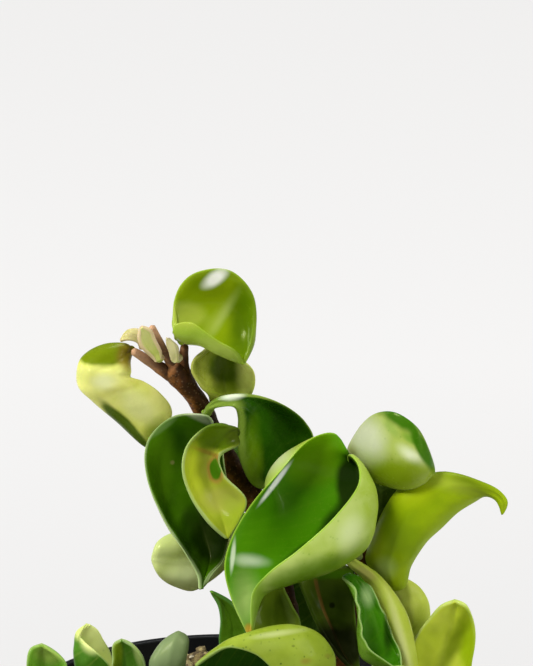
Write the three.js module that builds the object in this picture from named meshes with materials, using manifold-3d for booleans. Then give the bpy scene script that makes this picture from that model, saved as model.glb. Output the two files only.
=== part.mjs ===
// Potted hoya of the rope kind: thick folded leaves in pairs along brown stems, in a black nursery pot.
// Millimetres, +Z up. The origin is the middle of the pot's underside.
import * as THREE from 'three';
import { mergeVertices } from 'three/addons/utils/BufferGeometryUtils.js';
import Module from 'manifold-3d';

// The pot: a 105 mm round nursery pot, 90 mm tall, tapering to its base.
const RIM_RADIUS = 52.5;
const RIM_HEIGHT = 90;
const RIM_BAND = 13;
const RIM_STEP = 3.2;
const BASE_RADIUS = 37;
const WALL = 1.4;
const FLOOR = 2.6;
const DRAIN_HOLES = 6;
const DRAIN_RADIUS = 3.5;
const DRAIN_RING = 24;
const DRAIN_SIDES = 12;
const POT_SIDES = 44;
// The pot's edges are rounded by about this much.
const EDGE = 1;

// The potting mix: bark and pumice, filled to a little under the rim.
const MIX_HEIGHT = 83;
const MIX_GAP = 0.4;
const MIX_RINGS = 5;
const MIX_SIDES = 30;
const MIX_RELIEF = 1.1;
// The mix's side is straight up to this far below its top.
const MIX_SHOULDER = 9;
const HEAP_PLACE = [-6, 39];
const HEAP_RISE = 6;
const HEAP_SPREAD = 8.5;
const CHUNKS = 16;
const CHUNK_RADIUS = [1.8, 3.6];
const CHUNK_SHAPE = [1, 0.8, 0.7];
const CHUNK_REACH = 40;
const CHUNK_STAND = 0.15;
const CHUNK_SEED = 5;

const POT_BLACK = '#0a1218';
const BARK_BROWN = '#8a6a48';
const STEM_BROWN = '#5c3f26';
// How rough each finish is, from 0, polished, to 1, dull.
const POT_ROUGHNESS = 0.35;
const MIX_ROUGHNESS = 0.95;
const STEM_ROUGHNESS = 0.6;
const LEAF_ROUGHNESS = 0.3;

// Touching pieces keep this much air between them.
const GAP = 0.35;
const STEM_SIDES = 8;
const HOLE_DEPTH = 14;
// A stalk starts this far off its stem's skin.
const STALK_GAP = 0.85;

// Leaf flesh: how thick a blade, a stalk and a leaf's tip are, and half the width of the last two.
const BLADE_THICK = 1.4;
const STALK_THICK = 2.1;
const TIP_THICK = 1.1;
const STALK_HALF = 1.1;
const TIP_HALF = 0.55;
// Where a blade bends tightly it is thinner: this share of the bend's radius, and never below 0.6 mm.
const BEND_SHARE = 0.8;
const LEAST_HALF = 0.3;
const ACROSS = [-1, -0.92, -0.62, -0.3, 0, 0.3, 0.62, 0.92, 1];
const ACROSS_PLAIN = [-1, -0.9, -0.48, 0, 0.48, 0.9, 1];
const FINE_STEPS = 13;
// The squareness of a blade's cut edge where its stalk ends, along the blade, and at the tip.
const SQUARE = { stalk: 2, first: 4, blade: 8, tip: 3 };
// The wave of the second margin runs this far behind the wave of the first.
const WAVE_LAG = 1.7;

// Points on stems and leaves are given in a plane that leans back by this slope through the pot's
// rim centre: how far across, how far up the slope, and how far back from it along the ground.
const SLOPE = THREE.MathUtils.degToRad(20);

// Stems: the points that each follows from inside the mix to its end, and its radii spread along it.
const STEMS = {
  "stem_tall": {"path": [[18, -8, 7], [18, 5, 7.5], [16.5, 18, 8.5], [14, 32, 9.5], [10, 45.5, 10.5],
    [6, 53.8, 11], [2.6, 58.4, 11], [-0.2, 63.4, 11], [-2.6, 68.4, 10.4], [-5.4, 74, 9], [-7.7, 78.1, 7],
    [-10.4, 81.8, 5.2], [-14, 87, 2.8]],
    "radius": [2.6, 2.6, 2.6, 2.6, 2.6, 3, 3.3, 2.6, 2.4, 2.5, 3.3], "arms": [
      {"path": [[-10.6, 82.6, 4.6], [-10.7, 87.2, 2.8], [-10.4, 91.4, 1.4]], "radius": [2.2, 1.3, 1.1]},
      {"path": [[-11.4, 82.6, 4.6], [-16, 85.2, 2.6], [-20.2, 87.9, 1.2], [-23.6, 90, 0.2]],
        "radius": [2.4, 1.4, 1.05]},
      {"path": [[-13.2, 86, 3], [-15.8, 90.2, 2], [-17.3, 93.2, 1.4], [-18.8, 96.2, 1]],
        "radius": [1.5, 1.1, 0.9]}]},
  "stem_right": {"path": [[27, -7, 9], [29, 8, 10], [32, 22, 11], [34.5, 36, 12], [36, 46, 13],
    [35.5, 54, 14], [34.5, 59, 14.5]], "radius": [2.3, 1.6], "arms": []},
  "stem_left": {"path": [[-18, -10.5, -2], [-21, -3, -2], [-27, 1.5, -1.5], [-34, 3.5, -1]],
    "radius": [1.9, 1.4], "arms": []},
  "stem_front": {"path": [[7, -12.5, -8], [8.5, -4, -8.5], [13, 2.5, -9.5], [20, 6, -10], [26, 7.5, -10]],
    "radius": [2.1, 1.5], "arms": []},
  "stem_back": {"path": [[14, -1, 25], [15, 14, 28], [17, 28, 30], [20, 40, 31], [22, 48, 30]],
    "radius": [2.3, 1.5], "arms": []},
};

// Leaves, from stalk to tip. Each row is the first margin, the midrib, the second margin, and how far
// each half bellies out under the blade (a number, or a shift of its middle).
const LEAVES = {
  "leaf_crown_left": {"colour": "#a9b53a", "steps": 13, "wave": [0.3, 2, 0.4],
    "stalk": [[-24, 90.2, 3.2]], "rows": [
    [[-25, 91.7, 2.4], [-26.2, 88.8, 0.2], [-24.2, 87.2, 2.2], 0.4, 0.4],
    [[-30.25, 91.3, 2.5], [-31, 85.8, -2.6], [-23.8, 84.6, 0.4], 1.2, 1.5],
    [[-35.2, 88.5, 2], [-34, 84.5, -4], [-23.7, 83.4, 0], 1.5, 2],
    [[-37.4, 82.5, 0.5], [-32.8, 80.7, -4.2], [-23, 83, 0], 1.2, 2],
    [[-34, 78.2, 0], [-29, 77.4, -3], [-21, 82.3, 1], 1, 1.5],
    [[-27.2, 72.4, 1], [-25, 73.8, -1], [-16.8, 79.5, 3], 0.8, 1.2],
    [[-20.6, 66, 3.4], [-19.2, 68.6, 3.2], [-13.6, 74.4, 6.8], 0.6, 0.8]],
    "tip": [-17.8, 66, 7]},
  "leaf_crown_top": {"colour": "#9fc02c", "steps": 14, "wave": [0.35, 2, 1],
    "stalk": [[-11.7, 93, -0.8]], "rows": [
    [[-12.2, 97.6, 3], [-12.6, 93.6, 0], [-12.6, 96.4, -3.5], 1.1, 1],
    [[-12.3, 104.5, 5], [-10, 92.4, 0], [-9, 96.8, -5.5], 2.6, 1.5],
    [[-8, 109.4, 4.5], [-5.8, 91.9, 0], [-5.8, 94.9, -6.5], 4.5, 1.5],
    [[0.6, 110.2, 3.5], [-1.5, 89.9, -0.8], [-1.6, 92.4, -6.5], 5, 1.5],
    [[6.4, 104.3, 2.5], [1.8, 88.2, -1.8], [1.3, 90.7, -6], 4, 1],
    [[7, 96.2, 0.5], [3.6, 87.5, -2.8], [3, 89, -5.3], 2, 0.5]],
    "tip": [4.3, 86.8, -4]},
  "leaf_crown_cup": {"colour": "#7f8c2c", "steps": 10, "wave": [0.25, 2, 2],
    "stalk": [[-4, 77.2, 8.6]], "rows": [
    [[-4.8, 79, 3.8], [-0.2, 77.6, 8.8], [5.4, 78.2, 7.6], 0.4, 0.4],
    [[-6.9, 81.4, 0.4], [-0.4, 79.6, 9.2], [7, 80.3, 5.6], 1.2, 1.2],
    [[-8.7, 84.8, -0.6], [-1, 84.5, 8.8], [6.6, 84.6, 2], 1.5, 1.5],
    [[-8, 87.4, 0.6], [-1.6, 88.5, 8.4], [4.3, 87.3, 3.4], 1.2, 1.2],
    [[-5, 90, 3.5], [-1.6, 91.6, 9], [2, 90.5, 5.8], 0.8, 0.8]],
    "tip": [-2.4, 94, 9.5]},
  "leaf_bud_fold": {"colour": "#c3c06a", "steps": 5, "wave": [0.1, 2, 0],
    "stalk": [[-20.8, 90.8, 1.8]], "rows": [
    [[-20.3, 93.8, 1.4], [-21.3, 92.6, 0.8], [-22.4, 91.9, 0.4], 0.2, 0.2],
    [[-21.8, 95.3, 1.6], [-23.1, 93.7, 0.6], [-24, 92.4, -0.2], 0.3, 0.3],
    [[-24, 95, 1.4], [-24.9, 93.6, 0.6], [-25.3, 92.3, -0.2], 0.2, 0.2]],
    "tip": [-26.1, 92.6, 0.6]},
  "leaf_bud_channel": {"colour": "#c9c77a", "steps": 6, "wave": [0.1, 2, 0],
    "stalk": [[-16.8, 87.6, -0.6]], "rows": [
    [[-18.8, 88.4, -1.8], [-17.6, 89, -1], [-16.2, 89.8, -1.6], 0.3, 0.3],
    [[-21, 90.4, -2.6], [-19.3, 91.6, -1.6], [-17.8, 93, -2.2], 0.4, 0.4],
    [[-21.9, 92.8, -3], [-20.4, 94, -2.4], [-18.9, 95.2, -2.6], 0.3, 0.3]],
    "tip": [-21.2, 95.7, -3]},
  "leaf_bud_small": {"colour": "#c6cf9a", "steps": 4, "wave": [0.05, 2, 0],
    "stalk": [[-12.6, 87.6, -0.8]], "rows": [
    [[-14.4, 89.7, -1.4], [-13.1, 89.3, -2.1], [-11.7, 89.5, -1.6], 0.2, 0.2],
    [[-15, 91.5, -1.4], [-13.6, 91.2, -2.2], [-12, 91.1, -1.6], 0.2, 0.2]],
    "tip": [-14.5, 93, -1.6]},
  "leaf_left_bowl": {"colour": "#2c5f0a", "steps": 15, "wave": [0.4, 3, 0.5],
    "stalk": [[-3.6, 69.2, 5.4]], "rows": [
    [[-1.2, 68.4, 2.5], [-5, 69.6, 5], [-4.8, 73.6, 0.4], 0.8, 1],
    [[-0.6, 63.5, 2], [-7.5, 64.5, 8.5], [-12.8, 73.8, -1], 1.2, 3],
    [[0.6, 56.5, 2.5], [-8.5, 56.5, 9], [-19.2, 67.5, -1.5], 1.2, 3.2],
    [[1.4, 49.5, 2.5], [-7.5, 50, 8.5], [-19.8, 58, -2.5], 1.2, 3.2],
    [[0.8, 43, 1.5], [-5.5, 43.3, 6.2], [-16, 47.8, -3], 1, 2.4],
    [[-0.6, 37.5, -0.5], [-4, 37.5, 3], [-10, 39.3, -3.2], 0.6, 1.2],
    [[-4, 33.8, -1.8], [-5.2, 33.5, -0.6], [-7, 33.4, -3.2], 0.3, 0.3]],
    "tip": [-6.3, 30, -3.2]},
  "leaf_left_inner": {"colour": "#8f9f32", "steps": 13, "wave": [0.3, 2, 2],
    "stalk": [[1.2, 66.4, 5.2], [2.4, 69.6, 1]], "rows": [
    [[3.4, 66.2, -2.6], [0.4, 69, -0.6], [-4.6, 71.2, -4.4], 0.6, 1],
    [[-1.6, 63.6, -3.4], [-4.6, 63, 0.4], [-9.2, 66.6, -6], 0.8, 1.8],
    [[-0.8, 58.8, -3.6], [-4.2, 57.5, 0.4], [-10.7, 60.5, -7], 0.8, 2],
    [[5, 52.3, -4.4], [-2.5, 51.7, -1], [-9, 53.6, -7], 1, 1.5],
    [[3.6, 47.6, -4.8], [-1, 47.4, -3.4], [-5, 47.3, -6.8], 0.5, 0.6]],
    "tip": [0.2, 42.8, -5.4]},
  "leaf_left_under": {"colour": "#9db08a", "steps": 10, "wave": [0.3, 2, 0],
    "stalk": [[5, 41.5, 13]], "rows": [
    [[-1.5, 43, 13.5], [-2, 37.8, 12], [-3.4, 32.4, 13], 0.6, 0.6],
    [[-7.8, 44.6, 12.5], [-8.2, 37.2, 9.8], [-8.4, 29.2, 11.3], 1.2, 1.2],
    [[-13.5, 44.2, 10.5], [-13.5, 36.8, 7.8], [-12.8, 30.6, 9.5], 1.5, 1.5],
    [[-17, 42, 8.8], [-17.2, 37.4, 7.2], [-16.4, 33, 8.4], 1, 1]],
    "tip": [-18.6, 37.5, 7.8]},
  "leaf_arch": {"colour": "#356b10", "steps": 13, "wave": [0.35, 2, 1],
    "stalk": [[-4.9, 74.2, 4.2], [-4, 75.6, 2.4]], "rows": [
    [[-1.8, 78.3, 0.8], [-2, 76.9, 0.4], [-2.1, 75.7, 0.8], 0.1, 0.1],
    [[3.4, 78.9, 1.6], [2.9, 77.3, 2], [1.7, 75.7, 1], 0.2, 0.2],
    [[9, 78.5, 6], [7.2, 74.6, 8], [3.2, 73, 3.5], 1, 1],
    [[14.8, 76, 9.5], [11.6, 69.6, 12], [3, 67, 5], 1.5, 1.5],
    [[19.8, 71.8, 12], [14.6, 64.6, 14], [3.8, 61.3, 6.5], 1.5, 1.5],
    [[22, 67, 13.5], [16.5, 60, 14.5], [7, 55.8, 7.5], 1, 1]],
    "tip": [16, 54.8, 12.5]},
  "leaf_bowl": {"colour": "#47860c", "steps": 16, "wave": [0.35, 2, 0],
    "stalk": [[33.4, 52, 11], [31.8, 56.4, 7.6]], "rows": [
    [[30.6, 63.4, 1], [32.2, 61.8, 4.5], [27.6, 69, 1.5], 0.6, 1],
    [[32.8, 60.8, -5], [35, 55.6, 2], [20.6, 67.5, -2], 1.5, [-12.5, 1, 4.5]],
    [[33, 56.3, -9], [35.6, 49.2, 0], [13, 59.6, -6], 3, [-13.5, 2.6, 4.5]],
    [[27.3, 48.3, -12], [34.8, 41.4, -2.5], [6.5, 51.8, -8.5], 3.5, [-7, 1, 4.5]],
    [[18.5, 40.3, -14.5], [27, 35.6, -6], [1.5, 43, -10], 3, 5],
    [[10.5, 34.3, -15.5], [16, 32, -9.5], [-0.4, 35.8, -11.5], 1.8, 2.8],
    [[6.6, 29.3, -15], [9, 29, -12], [1, 28.3, -12.5], 0.7, 0.8]],
    "tip": [5.9, 18.4, -15]},
  "leaf_upper_right": {"colour": "#a3b55a", "steps": 13, "wave": [0.3, 2, 2],
    "stalk": [[34.6, 62.4, 13.4]], "rows": [
    [[33.2, 67.8, 13], [32.6, 62.4, 11.2], [31.6, 67, 9], 0.8, 1.2],
    [[36.8, 72.4, 12], [36.2, 58.2, 8.8], [36.2, 73.6, 5.6], 2, 3.4],
    [[42, 72.8, 10.5], [41.6, 56.2, 5], [42.2, 74.5, 2], 2.5, 4.2],
    [[46.8, 69.6, 8], [46, 55.8, 2.6], [47.6, 71, 0.2], 2, 3.8],
    [[50, 65.2, 6], [49.2, 57.2, 2.2], [50.7, 65.6, 0.6], 1, 2.2],
    [[51.6, 61.4, 4.4], [51.2, 59, 2.6], [52, 61.2, 1.6], 0.4, 0.4]],
    "tip": [52.2, 59, 2.9]},
  "leaf_horn": {"colour": "#93b73c", "steps": 18, "wave": [0.35, 3, 0],
    "stalk": [[38.6, 31.5, 9.5]], "rows": [
    [[44.6, 30.4, 6.5], [42, 30.6, 5.2], [39, 31.2, 8], 0.3, 0.3],
    [[46.3, 36, 5.5], [40.8, 36.4, 2.8], [35, 37.4, 7.7], 1.2, 1.2],
    [[50, 41.3, 5], [43.2, 42.5, 1.6], [36.6, 43, 7.6], 1.6, 1.6],
    [[54, 45, 5], [46, 48.8, 1.8], [39.8, 49.6, 7.4], 1.8, 1.8],
    [[58.5, 49.8, 5.5], [51, 53.8, 2.4], [44.4, 55.8, 7.4], 1.6, 1.6],
    [[62.8, 52.4, 5.5], [57.3, 56, 2.6], [53.4, 59.4, 6.6], 1.2, 1.2],
    [[65.5, 53.5, 4.6], [65, 54.9, 3.4], [64.7, 56.5, 4.8], 0.3, 0.3],
    [[67.6, 52.6, 4.2], [68.2, 53.4, 3.4], [68.9, 54.2, 4], 0.1, 0.1],
    [[68.8, 50.9, 3.8], [69.5, 51.6, 3.1], [70.4, 52.1, 3.6], 0.1, 0.1]],
    "tip": [69.5, 49, 3.3]},
  "leaf_right_small": {"colour": "#a8bd62", "steps": 8, "wave": [0.3, 2, 0],
    "stalk": [[41, 16, 9.6]], "rows": [
    [[50.2, 19.6, 10.6], [46.6, 19, 8.8], [42.8, 20, 10.6], 0.3, 0.3],
    [[51.2, 26, 11], [46.6, 26, 8.6], [41.4, 26.6, 10.8], 0.6, 0.6],
    [[49, 29.6, 11.2], [45.8, 30.2, 9.8], [42.2, 30.6, 11], 0.3, 0.3]],
    "tip": [44.8, 32.6, 11]},
  "leaf_right_low": {"colour": "#9db94a", "steps": 12, "wave": [0.3, 2, 1],
    "stalk": [[42, 2.5, 7]], "rows": [
    [[47, 6.4, 3.8], [53, 5.2, 5.4], [60, 6.4, 2.4], 0.6, 0.6],
    [[46.2, 12.8, 3.6], [54.4, 12.2, 6], [62.2, 12.8, 1.2], 0.8, 1.2],
    [[47.4, 17.8, 3.6], [55.8, 17.4, 6], [62.5, 17.8, 0.8], 0.8, 1.2],
    [[51, 22.4, 3.2], [57.4, 21.8, 5.2], [61.6, 22.8, 1], 0.6, 0.8],
    [[54, 25.6, 3], [57.8, 26, 4.4], [60.4, 25.6, 1.8], 0.2, 0.2]],
    "tip": [57.4, 26.9, 3.4]},
  "leaf_front_right": {"colour": "#4f8a14", "steps": 13, "wave": [0.5, 4, 0],
    "stalk": [[33.8, 32.2, 4.4], [32.6, 31.4, 1.2]], "rows": [
    [[34, 32.6, -3], [31.6, 33.5, -3.2], [29.2, 33.5, -3.8], 0.3, 0.3],
    [[37, 29.8, -4.8], [34.6, 28.6, -5.2], [31.6, 30, -9], 0.5, 1],
    [[39, 25.2, -5.4], [36.8, 24, -5.6], [33.6, 25.2, -12.5], 0.5, [-1.2, 0, 1.5]],
    [[41.2, 19.8, -6.5], [39, 18.4, -6.5], [33.8, 18.4, -14.5], 0.5, [-2.6, -0.4, 1.8]],
    [[43.6, 14.5, -7.5], [41.6, 13.2, -8], [37, 14.4, -15], 0.5, [-4.4, -1, 2.4]]],
    "tip": [43.8, 9.5, -12.5]},
  "leaf_hood": {"colour": "#aabf4e", "steps": 12, "wave": [0.3, 2, 0],
    "stalk": [[30.4, 37.6, 5.6]], "rows": [
    [[30.8, 36, 1.8], [31.6, 36.7, 1.2], [32.6, 36.8, 2.2], 0.2, 0.2],
    [[35, 32.4, 0.6], [36.8, 32.8, -0.6], [38, 33.2, 1.6], 0.4, 0.4],
    [[37.6, 27.8, 0], [40.2, 28.4, -1.8], [42, 28.8, 1.4], 0.6, 0.6],
    [[39.8, 22.8, -0.6], [42.6, 23, -2.8], [45, 23.6, 1], 0.8, 0.8],
    [[41.8, 16, -1.4], [44.6, 16, -3.8], [46.8, 16, 0.4], 0.8, 0.8],
    [[43.7, 8, -2.6], [46, 7.2, -4.8], [47.8, 7.5, -0.8], 0.6, 0.6]],
    "tip": [46.4, 2, -4.6]},
  "leaf_heart_dark": {"colour": "#1f3d06", "steps": 10, "wave": [0.3, 2, 0],
    "stalk": [[29, 34.5, 9]], "rows": [
    [[31.2, 35.5, 6.7], [22.6, 35, 6.6], [18.3, 32.8, 4], 0.8, 0.5],
    [[32.2, 26.6, 1.4], [23.8, 26.4, 4.8], [20, 26.8, 2.4], 1.2, 0.5],
    [[32.8, 20.6, -0.4], [26.4, 20, 2.8], [23, 21, 0.4], 1, 0.5],
    [[33.2, 14.8, -1.8], [29.2, 14, 0.4], [26.4, 15.6, -1.2], 0.6, 0.4]],
    "tip": [33, 8.5, -2.6]},
  "leaf_heart_olive": {"colour": "#6f7d2a", "steps": 9, "wave": [0.2, 2, 0],
    "stalk": [[14.2, 33.6, 4]], "rows": [
    [[14.4, 30.6, 1], [12.2, 30.8, 2], [9.6, 30, 1], 0.3, 0.3],
    [[16.4, 26.2, -2], [12, 26, 0], [6.4, 26, -2], 0.8, 0.8],
    [[18.6, 22.2, -4.5], [12.2, 21.4, -2.6], [5.4, 21.4, -5], 0.8, 0.8],
    [[18, 17.8, -7], [12.6, 17, -5.4], [7.6, 17.6, -7.4], 0.4, 0.4]],
    "tip": [12.6, 12.8, -8.6]},
  "leaf_front_arch": {"colour": "#b4c45a", "steps": 14, "wave": [0.4, 3, 0],
    "stalk": [[26.5, 10.5, -14]], "rows": [
    [[26.6, 10.4, -13], [26.2, 14, -16.4], [25.2, 8.4, -19], 0.4, 0.8],
    [[21.6, 10.6, -12.6], [22.2, 18.8, -18.2], [19.6, 5.4, -23.4], 0.8, 2.2],
    [[15.6, 10, -12.6], [16.2, 20.5, -19.4], [12.6, 9.4, -25.6], 1, 2.4],
    [[9.4, 8.4, -12.8], [9.8, 19.8, -20.2], [7.2, 14, -26.2], 1, 1.8],
    [[3.6, 7.2, -13.6], [3.6, 17.7, -20.6], [1.2, 15.6, -25.6], 0.8, 1],
    [[-1.6, 7.6, -15.6], [-2.4, 14.7, -20.8], [-3.6, 13.7, -23.8], 0.4, 0.3]],
    "tip": [-7.6, 10.8, -20.6]},
  "leaf_spike": {"colour": "#2f6a10", "steps": 8, "wave": [0.15, 2, 0],
    "stalk": [[3, 8, -6.5]], "rows": [
    [[-1.6, 15.4, -7], [1.8, 15.4, -5.6], [5, 15.6, -7], 0.2, 0.2],
    [[-1.5, 22.5, -8], [1.4, 22, -6.4], [4.6, 20.8, -7.4], 0.3, 0.3],
    [[-2.2, 26.8, -8.4], [-0.6, 26.4, -7.2], [1.5, 26.4, -8], 0.2, 0.2]],
    "tip": [-3.6, 29.4, -8.6]},
  "leaf_left_end": {"colour": "#3f6d1c", "steps": 8, "wave": [0.3, 2, 0],
    "stalk": [[-38.5, 2.6, -1]], "rows": [
    [[-49, 5, -4.5], [-45.2, 4.6, -0.5], [-41.6, 5, -4.5], 0.6, 0.6],
    [[-50.3, 10.4, -5.5], [-45.4, 10, -0.6], [-40, 10.4, -5.5], 0.8, 0.8],
    [[-49.2, 14.6, -5], [-46.2, 14.4, -2], [-42.9, 13.8, -4.6], 0.4, 0.4]],
    "tip": [-46.4, 15.9, -3.6]},
  "leaf_left_curl": {"colour": "#7ea04a", "steps": 10, "wave": [0.2, 2, 0],
    "stalk": [[-36, 4.4, -1]], "rows": [
    [[-28.4, 9, 1.8], [-36.8, 6.2, -1], [-28, 6.8, -5], -0.6, -0.8],
    [[-29, 13.6, 1.5], [-37.8, 11, -2], [-29.5, 11.2, -6], -1, -1],
    [[-30.8, 17, 0.6], [-38, 15, -2.5], [-33, 14.4, -6], -1, -0.8],
    [[-32.4, 19.8, 0], [-37.1, 19.2, -2], [-36.6, 17.4, -4.4], -0.4, -0.3]],
    "tip": [-34.8, 21, -1.2]},
  "leaf_left_mid": {"colour": "#4c7a1e", "steps": 9, "wave": [0.3, 2, 0],
    "stalk": [[-25.2, 4, -6]], "rows": [
    [[-29, 6.2, -9], [-24.8, 5.8, -6.4], [-20.4, 6.8, -8], 0.4, 0.4],
    [[-28.6, 12, -10], [-25.3, 11.6, -7], [-20.4, 11.8, -8.6], 0.6, 0.6],
    [[-28.3, 15.9, -9.4], [-26, 16.3, -8.4], [-23.5, 15.9, -8.8], 0.2, 0.2]],
    "tip": [-26.2, 17.2, -9]},
  "leaf_left_pale": {"colour": "#8fa07a", "steps": 10, "wave": [0.3, 2, 0],
    "stalk": [[-17.5, 2, -8]], "rows": [
    [[-11.6, 6.8, -10.6], [-15.2, 6, -13], [-18.8, 7.2, -11.6], 0.6, 0.6],
    [[-10.2, 12.4, -10.6], [-14.5, 12, -14], [-19.4, 12, -11.8], 1, 1],
    [[-9.4, 15.8, -9.8], [-13.2, 16.2, -12.4], [-17.2, 15, -10.6], 0.8, 0.8],
    [[-9.9, 18, -9.4], [-12.2, 18.5, -10.6], [-14.8, 17.4, -9.8], 0.2, 0.2]],
    "tip": [-11.9, 19.2, -9.6]},
};

// Leaves on the far side and under the front edge grow by one rule from their stalk: the way they
// head, how steeply they rise, how far they droop, their length, width, fold and roll.
const GROWN_ROWS = 5;
const GROWN_STEPS = 9;
const GROWN_BELLY = 0.14;
// A grown leaf's outline is this stretch of a sine's half turn, made blunter by the power after it.
const GROWN_STRETCH = [0.12, 0.92];
const GROWN_BLUNT = 0.8;
// Its fold opens from this many times its angle at the stalk to this many at the tip.
const GROWN_OPENING = [1.1, 0.7];
const GROWN = {
  "leaf_back_top": {"from": [21, 47, 34], "head": 100, "rise": 40, "droop": 110,
    "length": 30, "width": 21, "fold": 35, "roll": 20, "wave": [0.5, 2, 0], "colour": "#5f8a24"},
  "leaf_back_right": {"from": [24.5, 40, 32.5], "head": 25, "rise": 25, "droop": 90,
    "length": 28, "width": 20, "fold": 40, "roll": -20, "wave": [0.5, 2, 1], "colour": "#8aa83a"},
  "leaf_back_left": {"from": [14.5, 37, 32], "head": 165, "rise": 20, "droop": 80,
    "length": 28, "width": 20, "fold": 40, "roll": 25, "wave": [0.5, 2, 2], "colour": "#3f7014"},
  "leaf_back_middle": {"from": [19, 28, 35], "head": 80, "rise": 15, "droop": 80,
    "length": 28, "width": 20, "fold": 35, "roll": 0, "wave": [0.5, 2, 3], "colour": "#4c7c1a"},
  "leaf_back_low_left": {"from": [16.5, 9.5, 21], "head": 90, "rise": 89, "droop": 8,
    "length": 30, "width": 24, "fold": 20, "roll": 0, "wave": [0.5, 2, 4], "colour": "#33560f"},
  "leaf_back_low_right": {"from": [20, 10.5, 30.5], "head": 12, "rise": 35, "droop": 60,
    "length": 29, "width": 21, "fold": 35, "roll": 10, "wave": [0.5, 2, 5], "colour": "#46761c"},
  "leaf_behind_upper": {"from": [8, 56, 16], "head": 100, "rise": 25, "droop": 80,
    "length": 26, "width": 19, "fold": 40, "roll": -20, "wave": [0.5, 2, 1.5], "colour": "#33540c"},
  "leaf_behind_right": {"from": [38.4, 41, 15.6], "head": 80, "rise": 78, "droop": 30,
    "length": 24, "width": 20, "fold": 25, "roll": 10, "wave": [0.4, 2, 2.5], "colour": "#2c400c"},
  "leaf_side_low": {"from": [33.5, 5, 14.5], "head": 12, "rise": 14, "droop": 45,
    "length": 25, "width": 18, "fold": 40, "roll": -10, "wave": [0.5, 2, 3.5], "colour": "#5d8a28"},
  "leaf_front_low": {"from": [16, -1, -14], "head": -85, "rise": 25, "droop": 60,
    "length": 26, "width": 19, "fold": 35, "roll": 10, "wave": [0.5, 2, 0.5], "colour": "#6b9330"},
  "leaf_front_low_left": {"from": [2, -6, -10], "head": -130, "rise": 30, "droop": 60,
    "length": 25, "width": 18, "fold": 40, "roll": -10, "wave": [0.5, 2, 4.5], "colour": "#4a7a20"},
  "leaf_front_low_right": {"from": [30, 3, -13], "head": -45, "rise": 20, "droop": 50,
    "length": 25, "width": 18, "fold": 40, "roll": 15, "wave": [0.5, 2, 5.5], "colour": "#86a440"},
};

function seen([across, up, back]) {
  const z = RIM_HEIGHT + (up - back * Math.sin(SLOPE)) / Math.cos(SLOPE);
  return new THREE.Vector3(across, back, z);
}

// A repeatable draw between 0 and 1 for each call.
function draws(seed) {
  let state = seed;
  return () => {
    state = (state * 16807) % 2147483647;
    return state / 2147483647;
  };
}

const wasm = await Module();
wasm.setup();

function weld(geometry) {
  geometry.deleteAttribute('normal');
  geometry.deleteAttribute('uv');
  return mergeVertices(geometry, 1e-3);
}

function solid(geometry) {
  const welded = weld(geometry);
  const vertProperties = new Float32Array(welded.attributes.position.array);
  const triVerts = new Uint32Array(welded.index.array);
  return new wasm.Manifold(new wasm.Mesh({ numProp: 3, vertProperties, triVerts }));
}

function surfaceOf(body) {
  const cut = body.getMesh();
  const geometry = new THREE.BufferGeometry();
  geometry.setAttribute('position', new THREE.BufferAttribute(cut.vertProperties, 3));
  geometry.setIndex(new THREE.BufferAttribute(cut.triVerts, 1));
  return geometry;
}

function finish(colour, roughness) {
  return new THREE.MeshStandardMaterial({ color: colour, roughness, metalness: 0 });
}

function piece(name, geometry, colour, roughness) {
  geometry.computeVertexNormals();
  const mesh = new THREE.Mesh(geometry, finish(colour, roughness));
  mesh.name = name;
  return mesh;
}

// A stem's radius at a share of its length, from the radii given evenly along it.
function thickness(radii) {
  return (share) => {
    const place = share * (radii.length - 1);
    const low = Math.min(Math.floor(place), radii.length - 2);
    return THREE.MathUtils.lerp(radii[low], radii[low + 1], place - low);
  };
}

// A round stem: rings along a smooth curve, closed by a fan at each end.
function tube(path, radii, steps) {
  const radiusAt = thickness(radii);
  const curve = new THREE.CatmullRomCurve3(path, false, 'centripetal');
  const frames = curve.computeFrenetFrames(steps, false);
  const places = [];
  for (let i = 0; i <= steps; i++) {
    const centre = curve.getPointAt(i / steps);
    const radius = radiusAt(i / steps);
    for (let k = 0; k < STEM_SIDES; k++) {
      const turn = (2 * Math.PI * k) / STEM_SIDES;
      const spoke = frames.normals[i].clone().multiplyScalar(radius * Math.cos(turn));
      spoke.addScaledVector(frames.binormals[i], radius * Math.sin(turn));
      places.push(centre.clone().add(spoke));
    }
  }
  places.push(curve.getPointAt(0), curve.getPointAt(1));
  const faces = [];
  for (let i = 0; i < steps; i++) {
    for (let k = 0; k < STEM_SIDES; k++) {
      const next = (k + 1) % STEM_SIDES;
      const a = i * STEM_SIDES + k;
      const b = i * STEM_SIDES + next;
      faces.push(a, b, b + STEM_SIDES, a, b + STEM_SIDES, a + STEM_SIDES);
    }
  }
  const first = places.length - 2;
  const end = steps * STEM_SIDES;
  for (let k = 0; k < STEM_SIDES; k++) {
    const next = (k + 1) % STEM_SIDES;
    faces.push(first, next, k);
    faces.push(first + 1, end + k, end + next);
  }
  return closedBody(places, faces);
}

function closedBody(places, faces) {
  const geometry = new THREE.BufferGeometry().setFromPoints(places);
  geometry.setIndex(faces);
  return mergeVertices(geometry, 1e-3);
}

function stemBody(stem) {
  const path = stem.path.map(seen);
  let body = solid(tube(path, stem.radius, path.length + 2));
  for (const arm of stem.arms) {
    body = body.add(solid(tube(arm.path.map(seen), arm.radius, arm.path.length + 1)));
  }
  return body;
}

// Where a leaf's stalk starts: just off the skin of the nearest stem or arm.
const AXIS_STEPS = 120;
const STEM_AXES = Object.values(STEMS).flatMap((stem) => [stem, ...stem.arms]).map((part) => ({
  curve: new THREE.CatmullRomCurve3(part.path.map(seen), false, 'centripetal'),
  radiusAt: thickness(part.radius),
}));

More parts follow.
